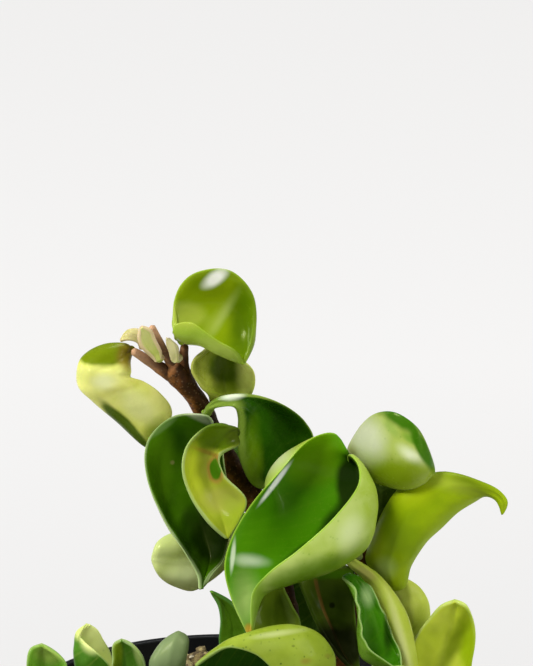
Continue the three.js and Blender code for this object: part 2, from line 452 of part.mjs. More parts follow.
function stalkRoot(from) {
  let best = null;
  for (const { curve, radiusAt } of STEM_AXES) {
    for (let i = 0; i <= AXIS_STEPS; i++) {
      const place = curve.getPointAt(i / AXIS_STEPS);
      const away = place.distanceTo(from);
      const skin = radiusAt(i / AXIS_STEPS) + STALK_GAP;
      if (!best || away < best.away) {
        best = { place, away, skin };
      }
    }
  }
  const heading = from.clone().sub(best.place).normalize();
  return best.place.clone().addScaledVector(heading, best.skin);
}

// The five rails of a leaf at each station: both margins, the midrib and the middle of each half.
function leafStations(leaf) {
  const rows = leaf.rows;
  const side = (row) => row[2].clone().sub(row[0]).normalize();
  const level = (centre, along, half) => [-1, -0.5, 0, 0.5, 1].map(
    (share) => centre.clone().addScaledVector(along, share * half));
  const stalk = [stalkRoot(leaf.stalk[0]), ...leaf.stalk];
  const stations = stalk.map((centre, i) => {
    const next = i < stalk.length - 1 ? stalk[i + 1] : rows[0][1];
    const heading = next.clone().sub(centre).normalize();
    const over = side(rows[0]);
    over.addScaledVector(heading, -over.dot(heading)).normalize();
    return { rails: level(centre, over, STALK_HALF), thick: STALK_THICK, square: SQUARE.stalk };
  });
  rows.forEach((row, i) => {
    const before = i > 0 ? rows[i - 1][1] : leaf.stalk[leaf.stalk.length - 1];
    const after = i < rows.length - 1 ? rows[i + 1][1] : leaf.tip;
    const along = after.clone().sub(before).normalize();
    const middle = (margin, belly, sign) => {
      const place = margin.clone().add(row[1]).multiplyScalar(0.5);
      if (belly.isVector3) {
        return place.add(belly);
      }
      const out = margin.clone().sub(row[1]).cross(along).normalize();
      return place.addScaledVector(out, sign * belly);
    };
    stations.push({
      rails: [row[0], middle(row[0], row[3], 1), row[1], middle(row[2], row[4], -1), row[2]],
      thick: BLADE_THICK, square: i === 0 ? SQUARE.first : SQUARE.blade,
    });
  });
  const last = rows[rows.length - 1];
  stations.push({ rails: level(leaf.tip, side(last), TIP_HALF), thick: TIP_THICK, square: SQUARE.tip });
  return stations;
}

// How tightly a blade bends at one point of its grid, as one over the radius.
function tightness(middle, normals, i, k) {
  let most = 1e-6;
  for (const [j, m] of [[i - 1, k], [i + 1, k], [i, k - 1], [i, k + 1]]) {
    if (middle[j] && middle[j][m]) {
      const turn = normals[i][k].distanceTo(normals[j][m]);
      most = Math.max(most, turn / Math.max(middle[i][k].distanceTo(middle[j][m]), 1e-6));
    }
  }
  return most;
}

// A leaf blade: its middle surface runs through the rails, and both faces stand off it evenly.
function leafBody(leaf, across, steps) {
  const stations = leafStations(leaf);
  const count = stations.length - 1;
  const rails = [0, 1, 2, 3, 4].map((k) => new THREE.CatmullRomCurve3(
    stations.map((station) => station.rails[k]), false, 'centripetal'));
  const columns = across.length;
  const middle = [];
  const stretch = [];
  for (let i = 0; i <= steps; i++) {
    const share = i / steps;
    const section = new THREE.CatmullRomCurve3(rails.map((rail) => rail.getPoint(share)), false,
      'centripetal');
    middle.push(across.map((u) => section.getPoint((u + 1) / 2)));
    const place = Math.min(share * count, count - 1e-6);
    const low = Math.floor(place);
    const mix = (key) => THREE.MathUtils.lerp(stations[low][key], stations[low + 1][key], place - low);
    stretch.push({ thick: mix('thick'), square: mix('square'), share });
  }
  const normals = middle.map((line, i) => line.map((_, k) => {
    const up = middle[Math.min(i + 1, steps)][k].clone().sub(middle[Math.max(i - 1, 0)][k]);
    const over = line[Math.min(k + 1, columns - 1)].clone().sub(line[Math.max(k - 1, 0)]);
    return over.cross(up).normalize();
  }));
  const places = [];
  const grid = [[], []];
  for (let i = 0; i <= steps; i++) {
    for (let k = 0; k < columns; k++) {
      const normal = normals[i][k];
      const u = across[k];
      const { thick, square, share } = stretch[i];
      const wave = leaf.wave[0] * Math.abs(u) ** 3 * Math.sin(Math.PI * share)
        * Math.sin(2 * Math.PI * leaf.wave[1] * share + leaf.wave[2] + (u > 0 ? WAVE_LAG : 0));
      const bend = tightness(middle, normals, i, k);
      const flesh = Math.max(LEAST_HALF, Math.min(0.5 * thick, BEND_SHARE / bend));
      const half = flesh * Math.sqrt(Math.max(0, 1 - Math.abs(u) ** square));
      const core = middle[i][k].clone().addScaledVector(normal, wave);
      if (Math.abs(u) === 1) {
        grid[0].push(places.length);
        grid[1].push(places.length);
        places.push(core);
        continue;
      }
      grid[0].push(places.length);
      places.push(core.clone().addScaledVector(normal, half));
      grid[1].push(places.length);
      places.push(core.clone().addScaledVector(normal, -half));
    }
  }
  const faces = [];
  const square = (a, b, c, d) => faces.push(a, b, c, a, c, d);
  for (let i = 0; i < steps; i++) {
    for (let k = 0; k < columns - 1; k++) {
      const a = i * columns + k;
      const corners = [a, a + 1, a + 1 + columns, a + columns];
      square(...corners.map((corner) => grid[0][corner]));
      const [p, q, r, s] = corners.map((corner) => grid[1][corner]);
      faces.push(p, r, q, p, s, r);
    }
  }
  for (const row of [0, steps]) {
    for (let k = 0; k < columns - 1; k++) {
      const a = row * columns + k;
      const corners = [grid[0][a], grid[1][a], grid[1][a + 1], grid[0][a + 1]];
      square(...(row === 0 ? corners : corners.reverse()));
    }
  }
  return closedBody(places, tidyFaces(faces));
}

// Faces that fold onto an edge have no area and are left out.
function tidyFaces(faces) {
  const kept = [];
  for (let i = 0; i < faces.length; i += 3) {
    const [a, b, c] = faces.slice(i, i + 3);
    if (a !== b && b !== c && a !== c) {
      kept.push(a, b, c);
    }
  }
  return kept;
}

function tracedLeaf(name, { stalk, rows, tip, wave }) {
  const shift = (belly) => (Array.isArray(belly) ? seen(belly).sub(seen([0, 0, 0])) : belly);
  return {
    name,
    stalk: stalk.map(seen),
    rows: rows.map((row) => [seen(row[0]), seen(row[1]), seen(row[2]), shift(row[3]), shift(row[4])]),
    tip: seen(tip),
    wave,
  };
}

// The rule for a grown leaf: a midrib that rises and droops, with the halves folded up beside it.
function grownLeaf(name, { from, head, rise, droop, length, width, fold, roll, wave }) {
  const turn = THREE.MathUtils.degToRad(head);
  const level = new THREE.Vector3(Math.cos(turn), Math.sin(turn), 0);
  const upright = new THREE.Vector3(0, 0, 1);
  const left = new THREE.Vector3(-Math.sin(turn), Math.cos(turn), 0);
  const start = seen(from);
  const rows = [];
  const step = length / (GROWN_ROWS + 1);
  const place = start.clone();
  for (let i = 0; i <= GROWN_ROWS + 1; i++) {
    const share = i / (GROWN_ROWS + 1);
    const pitch = THREE.MathUtils.degToRad(rise - droop * share * share);
    const along = level.clone().multiplyScalar(Math.cos(pitch)).addScaledVector(upright, Math.sin(pitch));
    place.addScaledVector(along, step);
    if (i > GROWN_ROWS) {
      break;
    }
    const over = along.clone().cross(left).normalize();
    const tilt = THREE.MathUtils.degToRad(roll * share);
    const flat = left.clone().multiplyScalar(Math.cos(tilt)).addScaledVector(over, Math.sin(tilt));
    const rear = over.clone().multiplyScalar(Math.cos(tilt)).addScaledVector(left, -Math.sin(tilt));
    const swell = Math.sin(Math.PI * THREE.MathUtils.lerp(...GROWN_STRETCH, share)) ** GROWN_BLUNT;
    const half = 0.5 * width * swell;
    const lift = THREE.MathUtils.degToRad(fold * THREE.MathUtils.lerp(...GROWN_OPENING, share));
    const margin = (sign) => place.clone().addScaledVector(flat, sign * half * Math.cos(lift))
      .addScaledVector(rear, half * Math.sin(lift));
    rows.push([margin(1), place.clone(), margin(-1), GROWN_BELLY * half, GROWN_BELLY * half]);
  }
  return { name, stalk: [start], rows, tip: place.clone(), wave };
}

// The pot's wall and floor are turned in one piece, with a thicker band standing out round the rim.
function potBody() {
  const bandFoot = RIM_HEIGHT - RIM_BAND;
  const neck = RIM_RADIUS - RIM_STEP;
  const profile = [
    [0, 0], [BASE_RADIUS - EDGE, 0], [BASE_RADIUS, EDGE], [neck, bandFoot],
    [RIM_RADIUS - EDGE, bandFoot + EDGE], [RIM_RADIUS, RIM_HEIGHT - EDGE],
    [RIM_RADIUS - EDGE / 2, RIM_HEIGHT], [RIM_RADIUS - WALL - EDGE / 3, RIM_HEIGHT],
    [RIM_RADIUS - WALL - EDGE, RIM_HEIGHT - EDGE], [neck - WALL, bandFoot - EDGE],
    [BASE_RADIUS - WALL, FLOOR + EDGE], [BASE_RADIUS - WALL - EDGE, FLOOR], [0, FLOOR],
  ];
  const turned = new THREE.LatheGeometry(profile.map(([r, z]) => new THREE.Vector2(r, z)), POT_SIDES);
  turned.rotateX(Math.PI / 2);
  let body = solid(turned);
  for (let i = 0; i < DRAIN_HOLES; i++) {
    const turn = (2 * Math.PI * i) / DRAIN_HOLES;
    const hole = new THREE.CylinderGeometry(DRAIN_RADIUS, DRAIN_RADIUS, 4 * FLOOR, DRAIN_SIDES);
    hole.rotateX(Math.PI / 2);
    hole.translate(DRAIN_RING * Math.cos(turn), DRAIN_RING * Math.sin(turn), FLOOR / 2);
    body = body.subtract(solid(hole));
  }
  return body;
}

// How high the mix lies at a place: gentle relief, and a heap near the far wall.
function mixTop(x, y) {
  const ripple = Math.sin(0.31 * x + 1.3) * Math.cos(0.27 * y - 0.4) + 0.6 * Math.sin(0.53 * y + 0.19 * x);
  const away = Math.hypot(x - HEAP_PLACE[0], y - HEAP_PLACE[1]);
  return MIX_HEIGHT + MIX_RELIEF * ripple + HEAP_RISE * Math.exp(-((away / HEAP_SPREAD) ** 2));
}

// The mix's radius at a height: the pot's inner wall less a gap, flaring with the rim's band.
function innerRadius(z) {
  const low = BASE_RADIUS - WALL;
  const high = RIM_RADIUS - RIM_STEP - WALL;
  const foot = FLOOR + EDGE;
  const bandFoot = RIM_HEIGHT - RIM_BAND - EDGE;
  const share = Math.min(1, (z - foot) / (bandFoot - foot));
  const flare = Math.max(0, z - bandFoot) * ((RIM_STEP - EDGE) / RIM_BAND);
  return THREE.MathUtils.lerp(low, high, share) + flare - MIX_GAP - GAP;
}

function mixBody() {
  const foot = FLOOR + MIX_GAP + EDGE;
  const shoulder = MIX_HEIGHT - MIX_SHOULDER;
  const places = [new THREE.Vector3(0, 0, foot)];
  const ring = (radius, height) => {
    const start = places.length;
    for (let k = 0; k < MIX_SIDES; k++) {
      const turn = (2 * Math.PI * k) / MIX_SIDES;
      const x = radius * Math.cos(turn);
      const y = radius * Math.sin(turn);
      places.push(new THREE.Vector3(x, y, height(x, y)));
    }
    return start;
  };
  const rings = [ring(innerRadius(foot) - EDGE, () => foot), ring(innerRadius(shoulder), () => shoulder)];
  const wide = innerRadius(MIX_HEIGHT - MIX_RELIEF);
  for (let i = MIX_RINGS; i > 0; i--) {
    rings.push(ring((wide * i) / MIX_RINGS, mixTop));
  }
  places.push(new THREE.Vector3(0, 0, mixTop(0, 0)));
  const faces = [];
  for (let i = 0; i < rings.length - 1; i++) {
    for (let k = 0; k < MIX_SIDES; k++) {
      const next = (k + 1) % MIX_SIDES;
      const [a, b] = [rings[i] + k, rings[i] + next];
      const [c, d] = [rings[i + 1] + next, rings[i + 1] + k];
      faces.push(a, b, c, a, c, d);
    }
  }
  const last = rings[rings.length - 1];
  for (let k = 0; k < MIX_SIDES; k++) {
    const next = (k + 1) % MIX_SIDES;
    faces.push(0, rings[0] + next, rings[0] + k);
    faces.push(places.length - 1, last + k, last + next);
  }
  let body = solid(closedBody(places, faces));
  const draw = draws(CHUNK_SEED);
  for (let i = 0; i < CHUNKS; i++) {
    const radius = THREE.MathUtils.lerp(CHUNK_RADIUS[0], CHUNK_RADIUS[1], draw());
    const reach = CHUNK_REACH * Math.sqrt(draw());
    const turn = 2 * Math.PI * draw();
    const chunk = new THREE.IcosahedronGeometry(radius, 0);
    chunk.scale(...CHUNK_SHAPE);
    chunk.rotateZ(Math.PI * draw());
    const [x, y] = [reach * Math.cos(turn), reach * Math.sin(turn)];
    chunk.translate(x, y, mixTop(x, y) + CHUNK_STAND * radius);
    body = body.add(solid(chunk));
  }
  for (const stem of Object.values(STEMS)) {
    const foot = seen(stem.path[0]);
    const along = seen(stem.path[1]).sub(foot).normalize();
    const deep = foot.clone().addScaledVector(along, -GAP);
    const high = foot.clone().addScaledVector(along, HOLE_DEPTH);
    const radius = stem.radius[0] + GAP;
    body = body.subtract(solid(tube([deep, high], [radius, radius], 1)));
  }
  return body.decompose().sort((a, b) => b.volume() - a.volume())[0];
}

function potPart() {
  return piece('pot', surfaceOf(potBody()), POT_BLACK, POT_ROUGHNESS);
}

function mixPart() {
  return piece('potting_mix', surfaceOf(mixBody()), BARK_BROWN, MIX_ROUGHNESS);
}

function stemPart(name) {
  return piece(name, surfaceOf(stemBody(STEMS[name])), STEM_BROWN, STEM_ROUGHNESS);
}

function tracedPart(name) {
  const leaf = LEAVES[name];
  const across = leaf.steps >= FINE_STEPS ? ACROSS : ACROSS_PLAIN;
  return piece(name, leafBody(tracedLeaf(name, leaf), across, leaf.steps), leaf.colour, LEAF_ROUGHNESS);
}

function grownPart(name) {
  const leaf = GROWN[name];
  return piece(name, leafBody(grownLeaf(name, leaf), ACROSS_PLAIN, GROWN_STEPS), leaf.colour, LEAF_ROUGHNESS);
}

const plant = new THREE.Group();
plant.add(potPart(), mixPart());
plant.add(...Object.keys(STEMS).map(stemPart));
plant.add(...Object.keys(LEAVES).map(tracedPart));
plant.add(...Object.keys(GROWN).map(grownPart));
export default plant;
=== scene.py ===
import math

import bpy
import numpy as np
from mathutils import Matrix, Vector


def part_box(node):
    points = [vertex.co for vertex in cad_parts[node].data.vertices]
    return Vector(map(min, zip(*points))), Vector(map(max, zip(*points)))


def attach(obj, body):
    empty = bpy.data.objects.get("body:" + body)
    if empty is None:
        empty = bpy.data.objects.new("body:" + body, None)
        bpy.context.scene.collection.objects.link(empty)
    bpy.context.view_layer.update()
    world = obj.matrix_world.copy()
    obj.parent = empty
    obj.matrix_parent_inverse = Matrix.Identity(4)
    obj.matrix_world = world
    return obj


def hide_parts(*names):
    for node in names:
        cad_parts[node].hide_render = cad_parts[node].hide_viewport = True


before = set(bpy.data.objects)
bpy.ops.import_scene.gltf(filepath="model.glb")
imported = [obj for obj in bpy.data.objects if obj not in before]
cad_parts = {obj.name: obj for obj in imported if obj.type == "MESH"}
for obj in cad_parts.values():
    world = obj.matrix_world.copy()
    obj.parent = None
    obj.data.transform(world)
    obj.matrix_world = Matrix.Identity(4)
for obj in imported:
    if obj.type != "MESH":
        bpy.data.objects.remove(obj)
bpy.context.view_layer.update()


# ---- The view
# The plant is seen from the front and a little above, through a long lens that keeps its
# leaves in proportion. The camera aims above the rim, a little to the right of its middle.
MM = 0.001
SLOPE = math.radians(20)
RIM_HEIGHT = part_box("pot")[1][2]
VIEW_ACROSS = 10.1 * MM
VIEW_UP = 94.3 * MM
VIEW_TALL = 166.5 * MM
VIEW_DISTANCE = 5.0
VIEW_END = 10 * VIEW_DISTANCE
SENSOR = 24

camera = bpy.data.objects.new("camera", bpy.data.cameras.new("camera"))
bpy.context.scene.collection.objects.link(camera)
bpy.context.scene.camera = camera
camera.data.sensor_width = SENSOR
camera.data.lens = SENSOR * VIEW_DISTANCE / VIEW_TALL
camera.data.clip_end = VIEW_END
camera.rotation_euler = (math.pi / 2 - SLOPE, 0, 0)
camera.location = (
    VIEW_ACROSS,
    -VIEW_DISTANCE * math.cos(SLOPE),
    RIM_HEIGHT + VIEW_UP / math.cos(SLOPE) + VIEW_DISTANCE * math.sin(SLOPE),
)


# ---- The floor and the light
# A plain pale sheet that lies flat and glows more the further back it goes, under a dim white
# sky and four soft lamps that stand round the plant and point at its middle.
FLOOR_HALF = 40.0
FLOOR_PALE = (0.16, 0.16, 0.16, 1)
FLOOR_GLOW = (1, 0.99, 0.98, 1)
FLOOR_ROUGHNESS = 0.9
# The floor's glow rises from one of these strengths to the other between two distances back.
GLOW_DISTANCES = (0.05, 0.5)
GLOW_STRENGTHS = (0.58, 0.75)
SKY_STRENGTH = 0.14
PLANT_MIDDLE = (0.01, 0.0, 0.15)
# Each lamp's place, how wide and tall it is, and its power in watts.
LAMPS = {
    "key_light": ((-0.5, -0.6, 1.05), 0.36, 0.36, 13),
    "window_light": ((-0.9, 0.0, 0.5), 0.3, 0.7, 6),
    "side_light": ((0.85, -0.35, 0.6), 0.3, 0.6, 5),
    "top_light": ((0.2, 0.4, 1.2), 0.6, 0.6, 6),
}


def new_object(name, places, faces):
    """A smooth mesh object, made from its places and faces."""
    mesh = bpy.data.meshes.new(name)
    mesh.from_pydata([tuple(map(float, p)) for p in places], [], [tuple(f) for f in faces])
    mesh.update()
    mesh.shade_smooth()
    made = bpy.data.objects.new(name, mesh)
    bpy.context.scene.collection.objects.link(made)
    return made


class Finish:
    """A material in the making: its skin, and the steps of colour and relief that lead to it."""

    def __init__(self, name):
        self.material = bpy.data.materials.new(name)
        self.material.use_nodes = True
        self.nodes = self.material.node_tree.nodes
        self.skin = self.nodes["Principled BSDF"]
        self.place = self.add("ShaderNodeTexCoord").outputs["Object"]

    def feed(self, socket, value):
        """Links a socket to another, or sets it to a number or to a colour's six-digit code."""
        if isinstance(value, bpy.types.NodeSocket):
            self.material.node_tree.links.new(value, socket)
        elif isinstance(value, str):
            parts = [int(value[i:i + 2], 16) / 255 for i in (1, 3, 5)]
            light = [p / 12.92 if p <= 0.04045 else ((p + 0.055) / 1.055) ** 2.4 for p in parts]
            socket.default_value = (*light, 1.0)
        else:
            socket.default_value = value

    def add(self, kind, **values):
        """A node with its settings and its named inputs filled in."""
        node = self.nodes.new(kind)
        for name, value in values.items():
            if hasattr(node, name):
                setattr(node, name, value)
            else:
                self.feed(node.inputs[name.replace("_", " ")], value)
        return node

    def mixed(self, share, first, second):
        """A colour between two others."""
        node = self.add("ShaderNodeMix", data_type="RGBA", clamp_factor=True)
        for number, value in ((0, share), (6, first), (7, second)):
            self.feed(node.inputs[number], value)
        return node.outputs[2]

    def ranged(self, value, low, high, out_low=0.0, out_high=1.0):
        """Eases a value from one range into another and holds it at the ends."""
        node = self.add("ShaderNodeMapRange", interpolation_type="SMOOTHSTEP", Value=value,
                        From_Min=low, From_Max=high, To_Min=out_low, To_Max=out_high)
        return node.outputs["Result"]

    def reckon(self, kind, first, second=0.0):
        """One step of arithmetic on numbers or sockets."""
        node = self.add("ShaderNodeMath", operation=kind)
        self.feed(node.inputs[0], first)
        self.feed(node.inputs[1], second)
        return node.outputs[0]

    def times(self, first, second):
        return self.reckon("MULTIPLY", first, second)

    def minus(self, first, second):
        return self.reckon("SUBTRACT", first, second)

    def noise(self, scale, detail=3.0, rough=0.55):
        node = self.add("ShaderNodeTexNoise", Vector=self.place, Scale=scale, Detail=detail, Roughness=rough)
        return node.outputs["Fac"]

    def dots(self, scale, inner, outer):
        """Round dots that fade from their inner to their outer size."""
        cells = self.add("ShaderNodeTexVoronoi", Vector=self.place, Scale=scale)
        return self.ranged(cells.outputs["Distance"], inner, outer, 1, 0)

    def raised(self, height, strength, distance, under=None):
        """Relief by a height, over other relief where there is some under it."""
        bump = self.add("ShaderNodeBump", Height=height, Strength=strength, Distance=distance)
        if under is not None:
            self.feed(bump.inputs["Normal"], under)
        return bump.outputs["Normal"]

    def parts(self, vector):
        """The three parts of a vector: across, back and up."""
        return self.add("ShaderNodeSeparateXYZ", Vector=vector).outputs

    def dress(self, **values):
        """Fills in the skin's own sockets and hands back the finished material."""
        for name, value in values.items():
            self.feed(self.skin.inputs[name.replace("_", " ")], value)
        return self.material


def floor_paint():
    paint = Finish("floor_paint")
    glow = paint.add("ShaderNodeMapRange", Value=paint.parts(paint.place)["Y"],
                     From_Min=GLOW_DISTANCES[0], From_Max=GLOW_DISTANCES[1],
                     To_Min=GLOW_STRENGTHS[0], To_Max=GLOW_STRENGTHS[1])
    return paint.dress(Base_Color=FLOOR_PALE, Roughness=FLOOR_ROUGHNESS, Specular_IOR_Level=0,
                       Emission_Color=FLOOR_GLOW, Emission_Strength=glow.outputs["Result"])


def soft_box(name, place, wide, tall, power):
    """A flat lamp that points at the middle of the plant."""
    lamp = bpy.data.objects.new(name, bpy.data.lights.new(name, "AREA"))
    lamp.data.shape = "RECTANGLE"
    lamp.data.size = wide
    lamp.data.size_y = tall
    lamp.data.energy = power
    bpy.context.scene.collection.objects.link(lamp)
    lamp.location = place
    lamp.rotation_euler = (Vector(PLANT_MIDDLE) - Vector(place)).to_track_quat("-Z", "Y").to_euler()


floor_corners = [(x * FLOOR_HALF, y * FLOOR_HALF, 0) for x, y in ((-1, -1), (1, -1), (1, 1), (-1, 1))]
floor = new_object("floor", floor_corners, [(0, 1, 2, 3)])
floor.data.materials.append(floor_paint())
for lamp_name, lamp_measures in LAMPS.items():
    soft_box(lamp_name, *lamp_measures)
world = bpy.data.worlds.new("studio")
bpy.context.scene.world = world
world.use_nodes = True
sky = world.node_tree.nodes["Background"].inputs
sky["Color"].default_value = (1, 1, 1, 1)
sky["Strength"].default_value = SKY_STRENGTH
bpy.context.scene.view_settings.view_transform = "Standard"


# ---- The pot
# A round nursery pot, moulded from black polypropylene in one piece, with a thicker band round
# its rim, flutes down its wall and drainage holes in its floor. It stands flat on its base.
POT_TURNS = 160
RIM_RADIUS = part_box("pot")[1][0]
RIM_STEP = 3.2 * MM
RIM_BAND = 13 * MM
BAND_FOOT = RIM_HEIGHT - RIM_BAND
NECK_RADIUS = RIM_RADIUS - RIM_STEP
BASE_RADIUS = 37 * MM
EDGE = 1 * MM
WALL = 1.4 * MM
WALL_RINGS = 12
LIP_ROUND = 0.55 * MM
LIP_INSET = 0.2 * MM
POT_FLOOR = 2.6 * MM
# The ledge under the band, in mm: out from the neck or the rim, and up from the band's foot.
LEDGE_AT_NECK = ((0.1, -0.25), (0.5, 0.25))
LEDGE_AT_RIM = ((-1.2, 0.85), (-0.85, 1.15), (-0.75, 1.7))
# The band leans in by this much at this far below the rim.
BAND_LEAN = 0.12 * MM
BAND_LEAN_DOWN = 6 * MM
# The floor's rings, as shares of its radius from its middle out.
FLOOR_RINGS = (0.1, 0.24, 0.4, 0.56, 0.72, 0.86)
DRAIN_HOLES = 6
DRAIN_RADIUS = 3.5 * MM
DRAIN_RING = 24 * MM
DRAIN_OVER = 2 * MM
DRAIN_SIDES = 32
FLUTES = 20
FLUTE_DEPTH = 0.35 * MM
FLUTE_START = 6 * MM
FLUTE_STOP = BAND_FOOT - 4 * MM
FLUTE_FADE = 5 * MM


def arc_points(centre, radius, start, end, count):
    """Points of an arc in the (radius, height) plane, angles in degrees."""
    turns = [math.radians(start + (end - start) * i / count) for i in range(count + 1)]
    return [(centre[0] + radius * math.cos(t), centre[1] + radius * math.sin(t)) for t in turns]


def circle(radius, height, count, centre=(0, 0)):
    """Places evenly round a level circle."""
    turns = [2 * math.pi * k / count for k in range(count)]
    return [(centre[0] + radius * math.cos(t), centre[1] + radius * math.sin(t), height) for t in turns]


def band(first, second, count):
    """Faces between two rings, given by their first places, that look outward if the second is above."""
    return [(first + k, first + (k + 1) % count, second + (k + 1) % count, second + k) for k in range(count)]


def fan(middle, first, count):
    """Faces between a middle and the ring round it, that look up."""
    return [(middle, first + k, first + (k + 1) % count) for k in range(count)]


def fan_down(middle, first, count):
    """The same faces, made to look down."""
    return [face[::-1] for face in fan(middle, first, count)]


def pot_profile():
    """The pot's outline as (radius, height), from the middle of its base round to that of its floor."""
    base = BASE_RADIUS - EDGE
    inner = BASE_RADIUS - WALL
    under = [(base * share, 0.0) for share in FLOOR_RINGS]
    foot = arc_points((base, EDGE), EDGE, -90, -5, 6)
    steps = [i / WALL_RINGS for i in range(1, WALL_RINGS + 1)]
    wall = [(BASE_RADIUS + (NECK_RADIUS - BASE_RADIUS) * s, EDGE + (BAND_FOOT - 2 * EDGE) * s)
            for s in steps]
    ledge = [(NECK_RADIUS + out * MM, BAND_FOOT + up * MM) for out, up in LEDGE_AT_NECK]
    ledge += [(RIM_RADIUS + out * MM, BAND_FOOT + up * MM) for out, up in LEDGE_AT_RIM]
    side = [(RIM_RADIUS - BAND_LEAN, RIM_HEIGHT - BAND_LEAN_DOWN)]
    lip_height = RIM_HEIGHT - LIP_ROUND
    lip = arc_points((RIM_RADIUS - LIP_ROUND, lip_height), LIP_ROUND, 0, 90, 5)
    lip += arc_points((RIM_RADIUS - WALL - LIP_INSET, lip_height), LIP_ROUND, 90, 180, 5)
    down = [(NECK_RADIUS - WALL, BAND_FOOT - EDGE), (inner, POT_FLOOR + EDGE), (inner - EDGE, POT_FLOOR)]
    plate = [((inner - EDGE) * share, POT_FLOOR) for share in reversed(FLOOR_RINGS)]
    return under + foot + wall + ledge + side + lip + down + plate


def turned_pot():
    """The outline turned round the pot's axis, with flutes down the outside of the wall."""
    places = []
    profile = pot_profile()
    for radius, height in profile:
        for x, y, _ in circle(1, height, POT_TURNS):
            r = radius
            if FLUTE_START < height < FLUTE_STOP and radius > BASE_RADIUS:
                fade = min(1, (height - FLUTE_START) / FLUTE_FADE, (FLUTE_STOP - height) / FLUTE_FADE)
                r -= FLUTE_DEPTH * fade * max(0.0, math.cos(FLUTES * math.atan2(y, x))) ** 6
            places.append((r * x, r * y, height))
    faces = []
    for i in range(len(profile) - 1):
        faces += band(i * POT_TURNS, (i + 1) * POT_TURNS, POT_TURNS)
    faces += fan_down(len(places), 0, POT_TURNS)
    faces += fan(len(places) + 1, len(places) - POT_TURNS, POT_TURNS)
    places += [(0.0, 0.0, 0.0), (0.0, 0.0, POT_FLOOR)]
    return places, faces


def drain_drill(name, x, y):
    """A round rod that passes through the floor where a drainage hole goes."""
    places = circle(DRAIN_RADIUS, -DRAIN_OVER, DRAIN_SIDES, (x, y))
    places += circle(DRAIN_RADIUS, POT_FLOOR + DRAIN_OVER, DRAIN_SIDES, (x, y))
    faces = band(0, DRAIN_SIDES, DRAIN_SIDES)
    faces += [tuple(range(DRAIN_SIDES))[::-1], tuple(range(DRAIN_SIDES, 2 * DRAIN_SIDES))]
    return new_object(name, places, faces)


def drill(target, drills):
    """Cuts the drills out of the target and clears them away."""
    for tool in drills:
        boolean = target.modifiers.new("cut", "BOOLEAN")
        boolean.object = tool
        boolean.operation = "DIFFERENCE"
        boolean.solver = "EXACT"
    bpy.context.view_layer.update()
    result = bpy.data.meshes.new_from_object(target.evaluated_get(bpy.context.evaluated_depsgraph_get()))
    target.modifiers.clear()
    target.data = result
    for tool in drills:
        bpy.data.objects.remove(tool)


def pot_plastic():
    """Black plastic with a fine grain, cloudy from handling and a little dusty."""
    plastic = Finish("pot_plastic")
    dusty = plastic.ranged(plastic.noise(90, 5, 0.7), 0.56, 0.8)
    cloudy = plastic.noise(25)
    black = plastic.mixed(cloudy, "#080a0d", "#0f1114")
    return plastic.dress(Base_Color=plastic.mixed(plastic.times(dusty, 0.35), black, "#6b5a48"),
                         Roughness=plastic.ranged(cloudy, 0.3, 0.7, 0.34, 0.5), Specular_IOR_Level=0.2,
                         Normal=plastic.raised(plastic.noise(1400, 2), 0.12, 0.4 * MM))


pot = new_object("pot_shell", *turned_pot())
drain_places = circle(DRAIN_RING, 0, DRAIN_HOLES)
drill(pot, [drain_drill(f"drain_{i}", x, y) for i, (x, y, _) in enumerate(drain_places)])
pot.data.materials.append(pot_plastic())
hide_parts("pot")
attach(pot, "root")


# ---- The potting mix
# Composted bark, pumice and grit, filled to a little under the rim and heaped by the far wall.
# Its grains lie pressed into its top.
MIX_HEIGHT = 83 * MM
MIX_RELIEF = 1.1 * MM
CRUMB_RELIEF = 0.5 * MM
MIX_GAP = 0.5 * MM
HEAP_PLACE = (-6 * MM, 39 * MM)
HEAP_RISE = 6 * MM
HEAP_SPREAD = 8.5 * MM
MIX_RINGS = 70
MIX_TURNS = 200
GRAINS = 1500
GRAIN_SEED = 12
GRAIN_REACH = 45 * MM
# The mix under the grains has this shade, where a grain has one from 0, dark, to 1, pale.
EARTH_SHADE = 0.1
# A grain's middle lies above the top of the mix by this share of its size.
GRAIN_LIFT = 0.15


def mix_top(x, y):
    """How high the mix stands: low waves, crumbs and the heap."""
    ripple = np.sin(310 * x + 1.3) * np.cos(270 * y - 0.4) + 0.6 * np.sin(530 * y + 190 * x)
    away = np.hypot(x - HEAP_PLACE[0], y - HEAP_PLACE[1])
    crumbs = 0.35 * np.sin(2100 * x + 3 * np.sin(900 * y)) * np.sin(1900 * y + 2 * np.sin(1100 * x))
    heap = HEAP_RISE * np.exp(-(away / HEAP_SPREAD) ** 2)
    return float(MIX_HEIGHT + MIX_RELIEF * ripple + heap + CRUMB_RELIEF * crumbs)


def mix_body():
    """The fill: rings out from the middle of its top, then two down to the pot's floor."""
    wide = NECK_RADIUS - WALL - MIX_GAP
    places = [(0.0, 0.0, mix_top(0, 0))]
    for i in range(1, MIX_RINGS + 1):
        places += [(x, y, mix_top(x, y)) for x, y, _ in circle(wide * i / MIX_RINGS, 0, MIX_TURNS)]
    places += circle(wide - 1.3 * MM, 66 * MM, MIX_TURNS)
    places += circle(BASE_RADIUS - WALL - 1.5 * MM, POT_FLOOR + 1.4 * MM, MIX_TURNS)
    faces = fan(0, 1, MIX_TURNS)
    for i in range(MIX_RINGS + 1):
        faces += band(1 + (i + 1) * MIX_TURNS, 1 + i * MIX_TURNS, MIX_TURNS)
    faces.append(tuple(range(len(places) - 1, len(places) - 1 - MIX_TURNS, -1)))
    return places, faces


